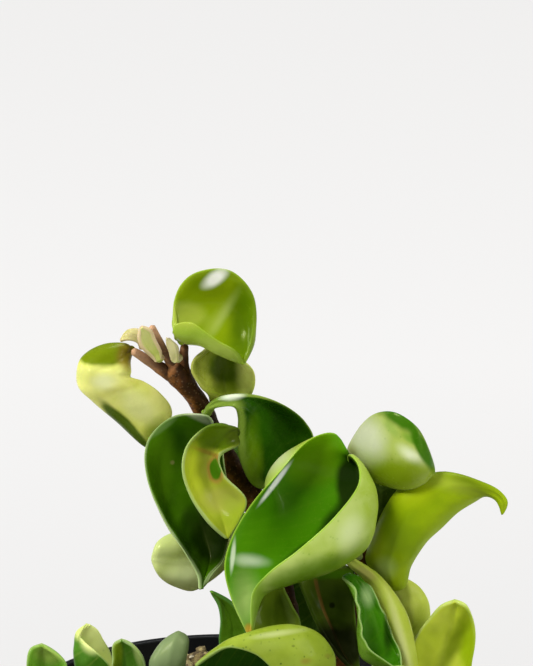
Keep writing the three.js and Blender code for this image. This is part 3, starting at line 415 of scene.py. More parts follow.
GOLDEN = (1 + math.sqrt(5)) / 2
GRAIN_CORNERS = np.array([(-1, GOLDEN, 0), (1, GOLDEN, 0), (-1, -GOLDEN, 0), (1, -GOLDEN, 0),
                          (0, -1, GOLDEN), (0, 1, GOLDEN), (0, -1, -GOLDEN), (0, 1, -GOLDEN),
                          (GOLDEN, 0, -1), (GOLDEN, 0, 1), (-GOLDEN, 0, -1), (-GOLDEN, 0, 1)]) / 1.9
GRAIN_FACES = ((0, 11, 5), (0, 5, 1), (0, 1, 7), (0, 7, 10), (0, 10, 11), (1, 5, 9), (5, 11, 4),
               (11, 10, 2), (10, 7, 6), (7, 1, 8), (3, 9, 4), (3, 4, 2), (3, 2, 6), (3, 6, 8), (3, 8, 9),
               (4, 9, 5), (2, 4, 11), (6, 2, 10), (8, 6, 7), (9, 8, 1))


def grain_field():
    """Angular grains of many sizes, each squashed and turned its own way and sunk into the top."""
    draw = np.random.default_rng(GRAIN_SEED)
    places, faces, shades = [], [], []
    for _ in range(GRAINS):
        size = MM * (0.5 + 2.6 * draw.random() ** 3)
        reach = GRAIN_REACH * math.sqrt(draw.random())
        turn, spin = draw.random(2) * 2 * math.pi
        x, y = reach * math.cos(turn), reach * math.sin(turn)
        squash = np.array([1, draw.uniform(0.55, 0.9), draw.uniform(0.35, 0.8)])
        corners = GRAIN_CORNERS * squash * size * draw.uniform(0.75, 1.2, (len(GRAIN_CORNERS), 1))
        tilt = draw.uniform(-0.5, 0.5)
        corners = corners @ np.array(Matrix.Rotation(spin, 3, "Z") @ Matrix.Rotation(tilt, 3, "X")).T
        base = len(places)
        places += list(corners + (x, y, mix_top(x, y) + GRAIN_LIFT * size))
        faces += [tuple(base + f for f in face) for face in GRAIN_FACES]
        shades += [draw.random()] * len(GRAIN_CORNERS)
    return places, faces, shades


def mix_crumb():
    """Earth between the grains, and grains from brown bark to pale pumice, all of it rough."""
    crumb = Finish("mix_crumb")
    fine = crumb.noise(700, 5, 0.7)
    shade = crumb.add("ShaderNodeAttribute", attribute_name="shade").outputs["Fac"]
    earth = crumb.mixed(crumb.noise(120, 4, 0.6), "#5a4a26", "#b8a468")
    bark = crumb.mixed(crumb.ranged(shade, 0.2, 0.7), earth, "#d6c78c")
    pale = crumb.mixed(crumb.ranged(shade, 0.7, 0.8), bark, "#ddd2b0")
    return crumb.dress(Base_Color=crumb.mixed(crumb.ranged(fine, 0.35, 0.7), "#3a2a16", pale),
                       Roughness=0.95, Normal=crumb.raised(fine, 0.8, 0.8 * MM))


def join_into(target, places, faces, shades=None):
    """Adds more places and faces to an object, with a shade for each new place where they have one."""
    mesh = target.data
    old = len(mesh.vertices)
    all_places = [tuple(v.co) for v in mesh.vertices] + [tuple(map(float, p)) for p in places]
    all_faces = [tuple(p.vertices) for p in mesh.polygons] + [tuple(old + i for i in f) for f in faces]
    joined = bpy.data.meshes.new(target.name)
    joined.from_pydata(all_places, [], all_faces)
    joined.update()
    target.data = joined
    if shades is not None:
        layer = joined.attributes.new("shade", "FLOAT", "POINT")
        layer.data.foreach_set("value", [EARTH_SHADE] * old + list(shades))


mix = new_object("mix_fill", *mix_body())
join_into(mix, *grain_field())
mix.data.materials.append(mix_crumb())
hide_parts("potting_mix")
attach(mix, "root")


# ---- The stems
# Five woody shoots with rough brown bark, each a rod that tapers and swells a little at its joints,
# rooted in the potting mix. The tall one forks at its top into two arms and a dead flower stalk.
STEM_TURNS = 28
STEM_STEP = 0.5 * MM
STEM_SLIM = 0.97
# Lumps in the bark: how big, how many go round, and how fast they wind up the stem, by the mm.
STEM_LUMPS = ((0.03, 2, 0.5), (0.02, 3, -0.9), (0.012, 5, 1.7))
# A swelling comes this often, in mm, this wide and this big.
KNOT_EVERY = 14
KNOT_WIDE = 1.6
KNOT_RISE = 0.1
# A stem's end is rounded over this share of its radius, down to a small flat.
END_ROUND = 0.7
END_FLAT = 0.12
# Arms draw their lumps from this seed on, and stems from 0 on.
ARM_SEED = 10
# Each path runs up the stem in mm, as (across, up, back), and its radii are spread evenly along it.
STEMS = {
    "stem_tall": {
        "path": [(18, -8, 7), (18, 5, 7.5), (16.5, 18, 8.5), (14, 32, 9.5), (10, 45.5, 10.5),
                 (6, 53.8, 11), (2.6, 58.4, 11), (-0.2, 63.4, 11), (-2.6, 68.4, 10.4), (-5.4, 74, 9),
                 (-7.7, 78.1, 7), (-10.4, 81.8, 5.2), (-14, 87, 2.8)],
        "radius": [2.6, 2.6, 2.6, 2.6, 2.6, 3, 3.3, 2.6, 2.4, 2.5, 3.3],
        "arms": [
            {"path": [(-10.6, 82.6, 4.6), (-10.7, 87.2, 2.8), (-10.4, 91.4, 1.4)],
             "radius": [2.2, 1.3, 1.1]},
            {"path": [(-11.4, 82.6, 4.6), (-16, 85.2, 2.6), (-20.2, 87.9, 1.2), (-23.6, 90, 0.2)],
             "radius": [2.4, 1.4, 1.05]},
            {"path": [(-13.2, 86, 3), (-15.8, 90.2, 2), (-17.3, 93.2, 1.4), (-18.8, 96.2, 1)],
             "radius": [1.5, 1.1, 0.9]}]},
    "stem_right": {
        "path": [(27, -7, 9), (29, 8, 10), (32, 22, 11), (34.5, 36, 12), (36, 46, 13), (35.5, 54, 14),
                 (34.5, 59, 14.5)],
        "radius": [2.3, 1.6], "arms": []},
    "stem_left": {
        "path": [(-18, -10.5, -2), (-21, -3, -2), (-27, 1.5, -1.5), (-34, 3.5, -1)],
        "radius": [1.9, 1.4], "arms": []},
    "stem_front": {
        "path": [(7, -12.5, -8), (8.5, -4, -8.5), (13, 2.5, -9.5), (20, 6, -10), (26, 7.5, -10)],
        "radius": [2.1, 1.5], "arms": []},
    "stem_back": {
        "path": [(14, -1, 25), (15, 14, 28), (17, 28, 30), (20, 40, 31), (22, 48, 30)],
        "radius": [2.3, 1.5], "arms": []},
}
# Bark turns from brown to tan between these two measures of its height less its place across.
YOUNG_FROM = (189 * MM, 212 * MM)


def seen(point):
    """A place given across, up the sloping plane through the rim's centre, and back from it."""
    across, up, back = point
    level = (up - back * math.sin(SLOPE)) / math.cos(SLOPE)
    return np.array([across * MM, back * MM, RIM_HEIGHT + level * MM])


def smooth_line(points, at):
    """Points on a smooth curve through the given ones, at shares from 0 to 1 of the way along."""
    points = np.asarray(points, float)
    count = len(points)
    place = np.clip(np.asarray(at, float), 0, 1) * (count - 1)
    low = np.minimum(place.astype(int), count - 2)
    share = (place - low)[:, None]
    padded = np.vstack([2 * points[0] - points[1], points, 2 * points[-1] - points[-2]])
    p0, p1, p2, p3 = (padded[low + k] for k in range(4))
    gap = [np.maximum(np.sum((b - a) ** 2, axis=1), 1e-20) ** 0.25
           for a, b in ((p0, p1), (p1, p2), (p2, p3))]
    d0, d1, d2 = (g[:, None] for g in gap)
    t1 = ((p1 - p0) / d0 - (p2 - p0) / (d0 + d1) + (p2 - p1) / d1) * d1
    t2 = ((p2 - p1) / d1 - (p3 - p1) / (d1 + d2) + (p3 - p2) / d2) * d1
    c2 = -3 * p1 + 3 * p2 - 2 * t1 - t2
    c3 = 2 * p1 - 2 * p2 + t1 + t2
    return p1 + share * (t1 + share * (c2 + share * c3))


def even_line(points, count):
    """The smooth curve's points, evenly spaced by length, and its length."""
    dense = smooth_line(points, np.linspace(0, 1, 400))
    run = np.concatenate([[0], np.cumsum(np.linalg.norm(np.diff(dense, axis=0), axis=1))])
    want = np.linspace(0, run[-1], count)
    return np.stack([np.interp(want, run, dense[:, k]) for k in range(3)], axis=1), run[-1]


def radius_at(part, share):
    """The radius of a stem or an arm at a share of its length."""
    radii = part["radius"]
    return np.interp(share * (len(radii) - 1), range(len(radii)), radii) * MM


def stem_skin(part, seed):
    """Rings of skin along a stem or an arm, a little lumpy, swollen at the joints and round-ended."""
    starts = np.random.default_rng(seed).uniform(0, 2 * math.pi, len(STEM_LUMPS))
    path = [seen(p) for p in part["path"]]
    length = even_line(path, 2)[1]
    count = max(12, int(length / STEM_STEP))
    line = even_line(path, count)[0]
    along = np.gradient(line, axis=0)
    along /= np.linalg.norm(along, axis=1, keepdims=True)
    over = np.cross(along, (0.3, 1, 0.2))
    over /= np.linalg.norm(over, axis=1, keepdims=True)
    across = np.cross(along, over)
    places, faces = [], []
    for i in range(count):
        share = i / (count - 1)
        radius = radius_at(part, share)
        up = share * length / MM
        knot = KNOT_RISE * math.exp(-((up % KNOT_EVERY - KNOT_EVERY / 2) / KNOT_WIDE) ** 2)
        to_end = (1 - share) * length / (END_ROUND * radius)
        end = max(END_FLAT, math.sqrt(1 - max(0.0, 1 - to_end) ** 2))
        for turn in np.linspace(0, 2 * math.pi, STEM_TURNS, endpoint=False):
            lump = sum(size * math.sin(lumps * turn + start + wind * up)
                       for (size, lumps, wind), start in zip(STEM_LUMPS, starts))
            r = radius * end * (STEM_SLIM + lump + knot)
            places.append(line[i] + r * (math.cos(turn) * over[i] + math.sin(turn) * across[i]))
    for i in range(count - 1):
        faces += band((i + 1) * STEM_TURNS, i * STEM_TURNS, STEM_TURNS)
    faces += fan(len(places), 0, STEM_TURNS)
    faces += fan_down(len(places) + 1, len(places) - STEM_TURNS, STEM_TURNS)
    return places + [line[0], line[-1]], faces


def stem_bark():
    """Brown bark, tan where it is young, near the top, with painted shade on the side away from the window.
    """
    bark = Finish("stem_bark")
    fine = bark.noise(900, 4, 0.65)
    wart = bark.dots(900, 0.12, 0.3)
    brown = bark.mixed(bark.ranged(bark.noise(160, 4, 0.6), 0.35, 0.65), "#6a3c12", "#96602e")
    old = bark.mixed(bark.ranged(fine, 0.3, 0.6), "#3c220c", brown)
    place = bark.parts(bark.place)
    young = bark.ranged(bark.minus(place["Z"], place["X"]), *YOUNG_FROM)
    # Painted shade: the side that faces +X, away from the window light, is darkened, less so where the bark
    # is young.
    facing = bark.parts(bark.add("ShaderNodeNewGeometry").outputs["Normal"])
    away = bark.ranged(facing["X"], -0.45, 0.35)
    dark = bark.times(away, bark.ranged(young, 0, 1, 0.85, 0.3))
    tone = bark.mixed(dark, bark.mixed(young, old, "#c49a74"), "#281606")
    rough = bark.raised(fine, 0.4, 0.4 * MM)
    return bark.dress(Base_Color=bark.mixed(bark.times(wart, 0.2), tone, "#a58a68"), Roughness=0.6,
                      Specular_IOR_Level=0.12, Normal=bark.raised(wart, 0.4, 0.3 * MM, rough))


brown_bark = stem_bark()
for number, (stem_name, stem) in enumerate(STEMS.items()):
    shoot = new_object(stem_name.replace("stem", "shoot"), *stem_skin(stem, number))
    for arm_number, arm in enumerate(stem["arms"]):
        join_into(shoot, *stem_skin(arm, ARM_SEED + arm_number))
    shoot.data.shade_smooth()
    shoot.data.materials.append(brown_bark)
    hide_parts(stem_name)
    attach(shoot, "root")


# ---- The leaves at the top
# The youngest leaves of the tall stem: a cupped one, one under it, a curled one on the left arm and
# three that are only just opening. Thick waxy blades on short stalks, from the stem and its arms.
BLADE_THICK = 1.4 * MM
STALK_THICK = 2.1 * MM
TIP_THICK = 1.1 * MM
STALK_HALF = 1.1 * MM
TIP_HALF = 0.55 * MM
# A stalk starts this far off the skin of its stem, which is searched for it in this many steps.
STALK_GAP = 0.85 * MM
STEM_SEARCH = 120
# How square the stalk, the first row, the other rows and the tip are across, where 2 is round.
STALK_SQUARE, FIRST_SQUARE, BLADE_SQUARE, TIP_SQUARE = 2.0, 4.0, 8.0, 3.0
# A blade's grid has this many steps across and along.
LEAF_ACROSS = 36
LEAF_ALONG = 84
# Half a blade's thickness is at most this share of the radius that it bends to, but not under this.
BEND_SHARE = 0.8
LEAST_HALF = 0.3 * MM
# The two halves of a blade wave this much out of step.
HALF_LAG = 1.7
# The midrib is a groove above and a ridge below: how deep or high, and how wide in mm.
GROOVE_DEPTH, GROOVE_WIDE = 0.26 * MM, 0.5
RIDGE_RISE, RIDGE_WIDE = 0.22 * MM, 0.7
# The veins: how high the skin between them stands, how they slant, and how close they come.
QUILT_RISE = 0.06 * MM
VEIN_SLANT = 0.7
VEIN_PACE = 1.25
# How close the crimps of a crimped margin come.
CRIMP_PACE = 46
# The groove, ridge and veins fade out over this many mm to a margin, and the veins to the midrib too.
FADE = 3
# They start this many stations up from the stem, and are full after so many more.
RIB_START, RIB_EASE = 1.2, 1.5


def unit(vector):
    return vector / max(np.linalg.norm(vector), 1e-12)


def stalk_root(start):
    """Where a stalk leaves the nearest stem: on the way from the stem's middle to the stalk."""
    best = None
    for stem in STEMS.values():
        for part in [stem] + stem["arms"]:
            line = even_line([seen(p) for p in part["path"]], STEM_SEARCH + 1)[0]
            away = np.linalg.norm(line - start, axis=1)
            i = int(np.argmin(away))
            if best is None or away[i] < best[0]:
                best = (away[i], line[i], radius_at(part, i / STEM_SEARCH))
    middle, radius = best[1:]
    return middle + unit(start - middle) * (radius + STALK_GAP)


def level_rails(centre, over, half):
    """Five rails side by side, level across a stalk or a tip."""
    return [centre + over * half * share for share in (-1, -0.5, 0, 0.5, 1)]


def half_middle(margin, midrib, belly, outward):
    """The middle of one half of a blade, pushed out by its belly, in mm, or by a belly's own shift."""
    place = (margin + midrib) / 2
    if isinstance(belly, np.ndarray):
        return place + belly
    return place + outward * belly * MM


def leaf_stations(rows, stalk, tip):
    """The five rails at each station: both margins, the midrib and the middle of each half."""
    line = [stalk_root(stalk[0])] + list(stalk)
    rails, thick, square = [], [], []
    for centre, after in zip(line, line[1:] + [rows[0][1]]):
        heading = unit(after - centre)
        over = unit(rows[0][2] - rows[0][0])
        over = unit(over - heading * np.dot(over, heading))
        rails.append(level_rails(centre, over, STALK_HALF))
        thick.append(STALK_THICK)
        square.append(STALK_SQUARE)
    midribs = [stalk[-1]] + [row[1] for row in rows] + [tip]
    for i, (first, midrib, second, first_belly, second_belly) in enumerate(rows):
        along = unit(midribs[i + 2] - midribs[i])
        first_out = unit(np.cross(first - midrib, along))
        second_out = -unit(np.cross(second - midrib, along))
        rails.append([first, half_middle(first, midrib, first_belly, first_out), midrib,
                      half_middle(second, midrib, second_belly, second_out), second])
        thick.append(BLADE_THICK)
        square.append(BLADE_SQUARE if i else FIRST_SQUARE)
    rails.append(level_rails(tip, unit(rows[-1][2] - rows[-1][0]), TIP_HALF))
    thick.append(TIP_THICK)
    square.append(TIP_SQUARE)
    return np.array(rails), np.array(thick), np.array(square)


def tightness(sheet, normal):
    """How tightly the blade bends at each point of its grid, as one over the radius."""
    most = np.full(sheet.shape[:2], 1e-3)
    for axis in (0, 1):
        turn = np.linalg.norm(np.diff(normal, axis=axis), axis=2)
        bend = turn / np.maximum(np.linalg.norm(np.diff(sheet, axis=axis), axis=2), 1e-7)
        for before_after in ((0, 1), (1, 0)):
            pad = [(0, 0), (0, 0)]
            pad[axis] = before_after
            most = np.maximum(most, np.pad(bend, pad))
    return most


def leaf_grids(rows, stalk, tip, wave, crimp):
    """Both faces of a blade, as grids, and the measures in mm that its wax needs."""
    rails, thick, square = leaf_stations(rows, stalk, tip)
    v = np.linspace(0, 1, LEAF_ALONG + 1)
    u = -np.cos(np.linspace(0, math.pi, LEAF_ACROSS + 1))
    lines = np.stack([smooth_line(rails[:, k], v) for k in range(5)])
    sheet = np.stack([smooth_line(lines[:, i], (u + 1) / 2) for i in range(len(v))])
    normal = np.cross(np.gradient(sheet, axis=1), np.gradient(sheet, axis=0))
    normal /= np.maximum(np.linalg.norm(normal, axis=2, keepdims=True), 1e-12)
    v, u = v[:, None], u[None, :]
    size, cycles, phase = wave
    lag = np.where(u > 0, HALF_LAG, 0.0)
    swing = size * np.abs(u) ** 3 * np.sin(2 * math.pi * cycles * v + phase + lag)
    ruffle = crimp * np.abs(u) ** 14 * np.sin(CRIMP_PACE * v + 3 * np.sin(9 * v))
    core = sheet + normal * ((swing + ruffle) * MM * np.sin(math.pi * v))[:, :, None]

    run = np.cumsum(np.linalg.norm(np.diff(core, axis=1), axis=2), axis=1) / MM
    first = np.concatenate([np.zeros((len(v), 1)), run], axis=1)
    second = first[:, -1:] - first
    rib = first - first[:, LEAF_ACROSS // 2, None]
    rise = np.linalg.norm(np.diff(core[:, LEAF_ACROSS // 2], axis=0), axis=1)
    way = np.broadcast_to(np.concatenate([[0], np.cumsum(rise)])[:, None] / MM, rib.shape)

    place = v[:, 0] * (len(thick) - 1)
    half_thick = 0.5 * np.interp(place, range(len(thick)), thick)[:, None]
    squareness = np.interp(place, range(len(square)), square)[:, None]
    flesh = np.clip(BEND_SHARE / tightness(sheet, normal), LEAST_HALF, half_thick)
    half = flesh * np.sqrt(np.maximum(0, 1 - np.abs(u) ** squareness))
    inside = np.clip(np.minimum(first, second) / FADE, 0, 1)
    inside = inside * np.clip((place[:, None] - RIB_START) / RIB_EASE, 0, 1)
    groove = GROOVE_DEPTH * np.exp(-(rib / GROOVE_WIDE) ** 2) * inside
    ridge = RIDGE_RISE * np.exp(-(rib / RIDGE_WIDE) ** 2) * inside
    quilt = QUILT_RISE * np.sin((way - VEIN_SLANT * np.abs(rib)) * VEIN_PACE) * inside
    quilt = quilt * np.clip(np.abs(rib) / FADE, 0, 1)
    upper = core + normal * (half - groove + quilt)[:, :, None]
    lower = core - normal * (half + ridge + 0.5 * quilt)[:, :, None]
    return upper, lower, {"rib": rib, "first": first, "second": second, "way": way}


def leaf_mesh(name, shape):
    """A blade with both faces and closed ends, with its measures kept on its points."""
    upper, lower, measures = leaf_grids(**shape)
    tall, wide = upper.shape[:2]
    places = np.concatenate([upper.reshape(-1, 3), lower[:, 1:-1].reshape(-1, 3)])
    top = np.arange(tall * wide).reshape(tall, wide)
    under = top.copy()
    under[:, 1:-1] = np.arange(tall * wide, len(places)).reshape(tall, wide - 2)
    faces = []
    for i in range(tall - 1):
        for k in range(wide - 1):
            faces.append((top[i, k], top[i, k + 1], top[i + 1, k + 1], top[i + 1, k]))
            faces.append((under[i, k], under[i + 1, k], under[i + 1, k + 1], under[i, k + 1]))
    root, end = ([*top[row], *under[row, -2:0:-1]] for row in (0, -1))
    faces += [tuple(root[::-1]), tuple(end)]
    made = new_object(name, places, faces)
    marks = {key: np.concatenate([grid.ravel(), grid[:, 1:-1].ravel()]) for key, grid in measures.items()}
    face_side = np.ones((tall, wide))
    face_side[:, [0, -1]] = 0
    marks["side"] = np.concatenate([face_side.ravel(), -np.ones(len(places) - tall * wide)])
    for key, mark in marks.items():
        layer = made.data.attributes.new(key, "FLOAT", "POINT")
        layer.data.foreach_set("value", mark.astype(np.float32))
    return made


def patch_mask(wax, spot, uneven, egg, deep, soft):
    """Where a patch lies, of colour or of painted highlight or shade: an egg round a place, turned in the
    view, its outline uneven.
    """
    across, up, wide, tall, tilt = egg
    turned = Matrix.Rotation(-SLOPE, 3, "X") @ Matrix.Rotation(-math.radians(tilt), 3, "Y")
    off = wax.add("ShaderNodeMapping", vector_type="TEXTURE", Vector=spot, Location=seen((across, up, 0)),
                  Rotation=turned.to_euler(), Scale=(wide * MM, deep * MM, tall * MM))
    length = wax.add("ShaderNodeVectorMath", operation="LENGTH")
    wax.feed(length.inputs[0], off.outputs["Vector"])
    rough = wax.reckon("ADD", length.outputs["Value"], wax.times(wax.minus(uneven, 0.5), 1.1))
    return wax.ranged(rough, 1 - soft, 1 + soft, 1, 0)


def leaf_wax(name, upper, lower, rim, rims=(0.45, 0.45), spots=0.35, gloss=0.28, glow=0.1, rib=0.3,
             rib_tone=None, vein=0.1, patches=(), deep=30, seed=0.0):
    """Waxy leaf skin: an upper and a lower side, a margin, a midrib, faint veins, dots and patches, which
    are the leaf's own colour or painted highlights and painted shade.

    A patch is its place across and up in mm, how far it reaches across and up, its tilt in degrees,
    its colour, its strength, the side that it is on, and how soft its outline is. All patches of a
    leaf reach as deep. The seed shifts the grain of the wax, so that no two leaves have the same.
    """
    wax = Finish(name)
    spot = wax.place
    shifted = wax.add("ShaderNodeVectorMath", operation="ADD")
    wax.feed(shifted.inputs[0], spot)
    wax.feed(shifted.inputs[1], (seed, 0.37 * seed, 0.71 * seed))
    wax.place = shifted.outputs[0]
    side, first, second, off, way = (wax.add("ShaderNodeAttribute", attribute_name=key).outputs["Fac"]
                                     for key in ("side", "first", "second", "rib", "way"))
    broad = wax.noise(75)
    fine = wax.noise(420, 4, 0.65)
    grit = wax.noise(1500, 3, 0.7)

    off_rib = wax.reckon("ABSOLUTE", off)
    slant = wax.minus(way, wax.times(off_rib, VEIN_SLANT))
    jitter = wax.reckon("ADD", slant, wax.times(broad, 2.2))
    veins = wax.ranged(wax.reckon("SINE", wax.times(jitter, VEIN_PACE)), 0.82, 1.0)
    midrib = wax.ranged(off_rib, 0.2, 0.8, 1, 0)
    blotch = wax.ranged(broad, 0.36, 0.64)
    top = wax.mixed(blotch, *upper)
    for share, colour in ((wax.times(wax.ranged(fine, 0.4, 0.7), 0.2), upper[1]),
                          (wax.times(wax.ranged(grit, 0.55, 0.75), 0.14), lower[0]),
                          (wax.times(veins, vein), lower[0]),
                          (wax.times(midrib, rib), rib_tone or lower[0])):
        top = wax.mixed(share, top, colour)
    freckles = wax.times(wax.dots(650, 0.1, 0.26), wax.ranged(fine, 0.42, 0.62))
    low = wax.mixed(blotch, *lower)
    for share, colour in ((wax.times(wax.ranged(grit, 0.5, 0.72), 0.3), lower[1]),
                          (wax.times(freckles, spots), upper[0]),
                          (wax.times(midrib, rib), rim)):
        low = wax.mixed(share, low, colour)
    upper_share = wax.ranged(side, -0.3, 0.3)
    skin = wax.mixed(upper_share, low, top)
    for edge, width in zip((first, second), rims):
        skin = wax.mixed(wax.times(wax.ranged(edge, 0.4 * width, 1.3 * width, 1, 0), 0.75), skin, rim)
    # Patches go over the skin: some are the leaf's own colour, some painted highlights and painted shade.
    for *egg, colour, strength, faces, soft in patches:
        mask = wax.times(patch_mask(wax, spot, broad, egg, deep, soft), strength)
        if faces == "upper":
            mask = wax.times(mask, upper_share)
        if faces == "lower":
            mask = wax.times(mask, wax.minus(1.0, upper_share))
        skin = wax.mixed(mask, skin, colour)
    ripple = wax.raised(broad, 0.2, 0.5 * MM)
    return wax.dress(Base_Color=skin, Roughness=wax.ranged(fine, 0.3, 0.75, gloss - 0.06, gloss + 0.08),
                     Normal=wax.raised(fine, 0.12, 0.2 * MM, ripple), Subsurface_Weight=glow,
                     Subsurface_Radius=(0.6, 1.0, 0.15), Subsurface_Scale=1.6 * MM,
                     Specular_IOR_Level=0.15, Specular_Tint=(0.95, 1, 0.3, 1),
                     Coat_Weight=0.05, Coat_Roughness=0.08)


def set_leaf(name, shape, look):
    """Makes a leaf's blade and its wax, and puts it in the place of its solid."""
    piece = leaf_mesh(name.replace("leaf", "blade"), shape)
    piece.data.materials.append(leaf_wax(name.replace("leaf", "wax"), **look))
    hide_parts(name)
    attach(piece, "root")


def seen_belly(belly):
    """A belly is a number in mm, or a shift of its own across, up and back."""
    return seen(belly) - seen((0, 0, 0)) if isinstance(belly, tuple) else belly


def traced_leaf(name, stalk, rows, tip, wave, crimp=0.0, **look):
    """A leaf drawn in mm through its stalk, its rows and its tip, each place as (across, up, back).

    A row is a margin, the midrib, the other margin, and how far each half bellies out between them.
    """
    shape = {
        "stalk": [seen(p) for p in stalk],
        "rows": [(*map(seen, row[:3]), *map(seen_belly, row[3:])) for row in rows],
        "tip": seen(tip),
        "wave": wave,
        "crimp": crimp,
    }
    set_leaf(name, shape, look)


traced_leaf("leaf_crown_left", wave=(0.3, 2, 0.4), tip=(-17.8, 66, 7),
    stalk=[(-24, 90.2, 3.2)], rows=[
        ((-25, 91.7, 2.4), (-26.2, 88.8, 0.2), (-24.2, 87.2, 2.2), 0.4, 0.4),
        ((-30.25, 91.3, 2.5), (-31, 85.8, -2.6), (-23.8, 84.6, 0.4), 1.2, 1.5),
        ((-35.2, 88.5, 2), (-34, 84.5, -4), (-23.7, 83.4, 0), 1.5, 2),
        ((-37.4, 82.5, 0.5), (-32.8, 80.7, -4.2), (-23, 83, 0), 1.2, 2),
        ((-34, 78.2, 0), (-29, 77.4, -3), (-21, 82.3, 1), 1, 1.5),
        ((-27.2, 72.4, 1), (-25, 73.8, -1), (-16.8, 79.5, 3), 0.8, 1.2),
        ((-20.6, 66, 3.4), (-19.2, 68.6, 3.2), (-13.6, 74.4, 6.8), 0.6, 0.8)],
    upper=("#b9c044", "#cdd068"), lower=("#c0c650", "#d6d67a"), rim="#c3ca62", glow=0.12, spots=0.05,
    rib=0.0, vein=0.04, seed=0.0, deep=20, patches=[
        (-30.8, 90.4, 8, 4.2, 0, "#647600", 0.97, "both", 0.2),
        (-25, 88.6, 2.2, 3.4, 0, "#7c6420", 0.7, "both", 0.5),
        # Painted highlights: a pale band across the curl, a spot below it and one on the lower lobe.
        (-32, 83.8, 7, 2.2, 0, "#b8ba66", 0.6, "both", 0.5),
        (-30.4, 82, 3, 2, 0, "#dde0b0", 0.6, "both", 0.7),
        (-22, 76, 5, 3, -40, "#dbdc9a", 0.6, "both", 0.6),
        (-26.4, 80.6, 6, 1, 22, "#a8a840", 0.4, "both", 0.9),
        # Painted shade: the dark strip along the rolled lower edge.
        (-24.9, 70.6, 9.6, 1.5, -46, "#3c5606", 0.96, "both", 0.3)])
traced_leaf("leaf_crown_top", wave=(0.35, 2, 1), tip=(4.3, 86.8, -4),
    stalk=[(-11.7, 93, -0.8)], rows=[
        ((-12.2, 97.6, 3), (-12.6, 93.6, 0), (-12.6, 96.4, -3.5), 1.1, 1),
        ((-12.3, 104.5, 5), (-10, 92.4, 0), (-9, 96.8, -5.5), 2.6, 1.5),
        ((-8, 109.4, 4.5), (-5.8, 91.9, 0), (-5.8, 94.9, -6.5), 4.5, 1.5),
        ((0.6, 110.2, 3.5), (-1.5, 89.9, -0.8), (-1.6, 92.4, -6.5), 5, 1.5),
        ((6.4, 104.3, 2.5), (1.8, 88.2, -1.8), (1.3, 90.7, -6), 4, 1),
        ((7, 96.2, 0.5), (3.6, 87.5, -2.8), (3, 89, -5.3), 2, 0.5)],
    upper=("#6a8404", "#7a9008"), lower=("#86a02c", "#98ac44"), rim="#869e2c", spots=0.05,
    rib=0.05, vein=0.04, gloss=0.22, seed=0.1, deep=20, patches=[
        (4, 97, 4, 9, 0, "#486602", 0.85, "both", 0.5),
        (-9.4, 99, 4.4, 3, 0, "#a3ae42", 0.6, "both", 0.5),
        # A pale streak along the ridge, part crease colour and part painted sheen, and a painted highlight
        # near the top.
        (-2.6, 97.6, 5, 1.6, 55, "#98a83c", 0.5, "upper", 0.7),
        (-0.6, 99, 5, 1.1, 60, "#b5c274", 0.35, "upper", 0.9),
        (-3, 107.6, 3, 1.5, 35, "#fdfdf4", 0.95, "upper", 0.6)])
traced_leaf("leaf_crown_cup", wave=(0.25, 2, 2), tip=(-2.4, 94, 9.5),
    stalk=[(-4, 77.2, 8.6)], rows=[
        ((-4.8, 79, 3.8), (-0.2, 77.6, 8.8), (5.4, 78.2, 7.6), 0.4, 0.4),
        ((-6.9, 81.4, 0.4), (-0.4, 79.6, 9.2), (7, 80.3, 5.6), 1.2, 1.2),
        ((-8.7, 84.8, -0.6), (-1, 84.5, 8.8), (6.6, 84.6, 2), 1.5, 1.5),
        ((-8, 87.4, 0.6), (-1.6, 88.5, 8.4), (4.3, 87.3, 3.4), 1.2, 1.2),
        ((-5, 90, 3.5), (-1.6, 91.6, 9), (2, 90.5, 5.8), 0.8, 0.8)],
    upper=("#8a962c", "#a3ac40"), lower=("#a3aa48", "#b8bc66"), rim="#b0b458", glow=0.08, rib=0.0,
    seed=0.2, patches=[
        # Painted shade: the dark inside of the cup, under the leaf above.
        (-0.4, 85.4, 4.6, 5.6, 20, "#3e5400", 0.95, "both", 0.35),
        (0.6, 80, 5, 2, 0, "#6c8208", 0.7, "both", 0.6),
        # The pale underside at the right edge, made lighter still as painted light.
        (5, 83.4, 1.8, 5, 0, "#d6de74", 0.85, "both", 0.95)])
traced_leaf("leaf_bud_fold", wave=(0.1, 2, 0), tip=(-26.1, 92.6, 0.6),
    stalk=[(-20.8, 90.8, 1.8)], rows=[
        ((-20.3, 93.8, 1.4), (-21.3, 92.6, 0.8), (-22.4, 91.9, 0.4), 0.2, 0.2),
        ((-21.8, 95.3, 1.6), (-23.1, 93.7, 0.6), (-24, 92.4, -0.2), 0.3, 0.3),
        ((-24, 95, 1.4), (-24.9, 93.6, 0.6), (-25.3, 92.3, -0.2), 0.2, 0.2)],
    upper=("#a3a24c", "#bab06c"), lower=("#b5ae6c", "#c3b888"), rim="#c0a87c", glow=0.15, spots=0.1,
    rib=0.05, seed=0.3)
traced_leaf("leaf_bud_channel", wave=(0.1, 2, 0), tip=(-21.2, 95.7, -3),
    stalk=[(-16.8, 87.6, -0.6)], rows=[
        ((-18.8, 88.4, -1.8), (-17.6, 89, -1), (-16.2, 89.8, -1.6), 0.3, 0.3),
        ((-21, 90.4, -2.6), (-19.3, 91.6, -1.6), (-17.8, 93, -2.2), 0.4, 0.4),
        ((-21.9, 92.8, -3), (-20.4, 94, -2.4), (-18.9, 95.2, -2.6), 0.3, 0.3)],
    upper=("#a8b254", "#bcbe70"), lower=("#bfae80", "#ccb898"), rim="#c9ae8c", glow=0.15, spots=0.1,
    rib=0.05, seed=0.4)
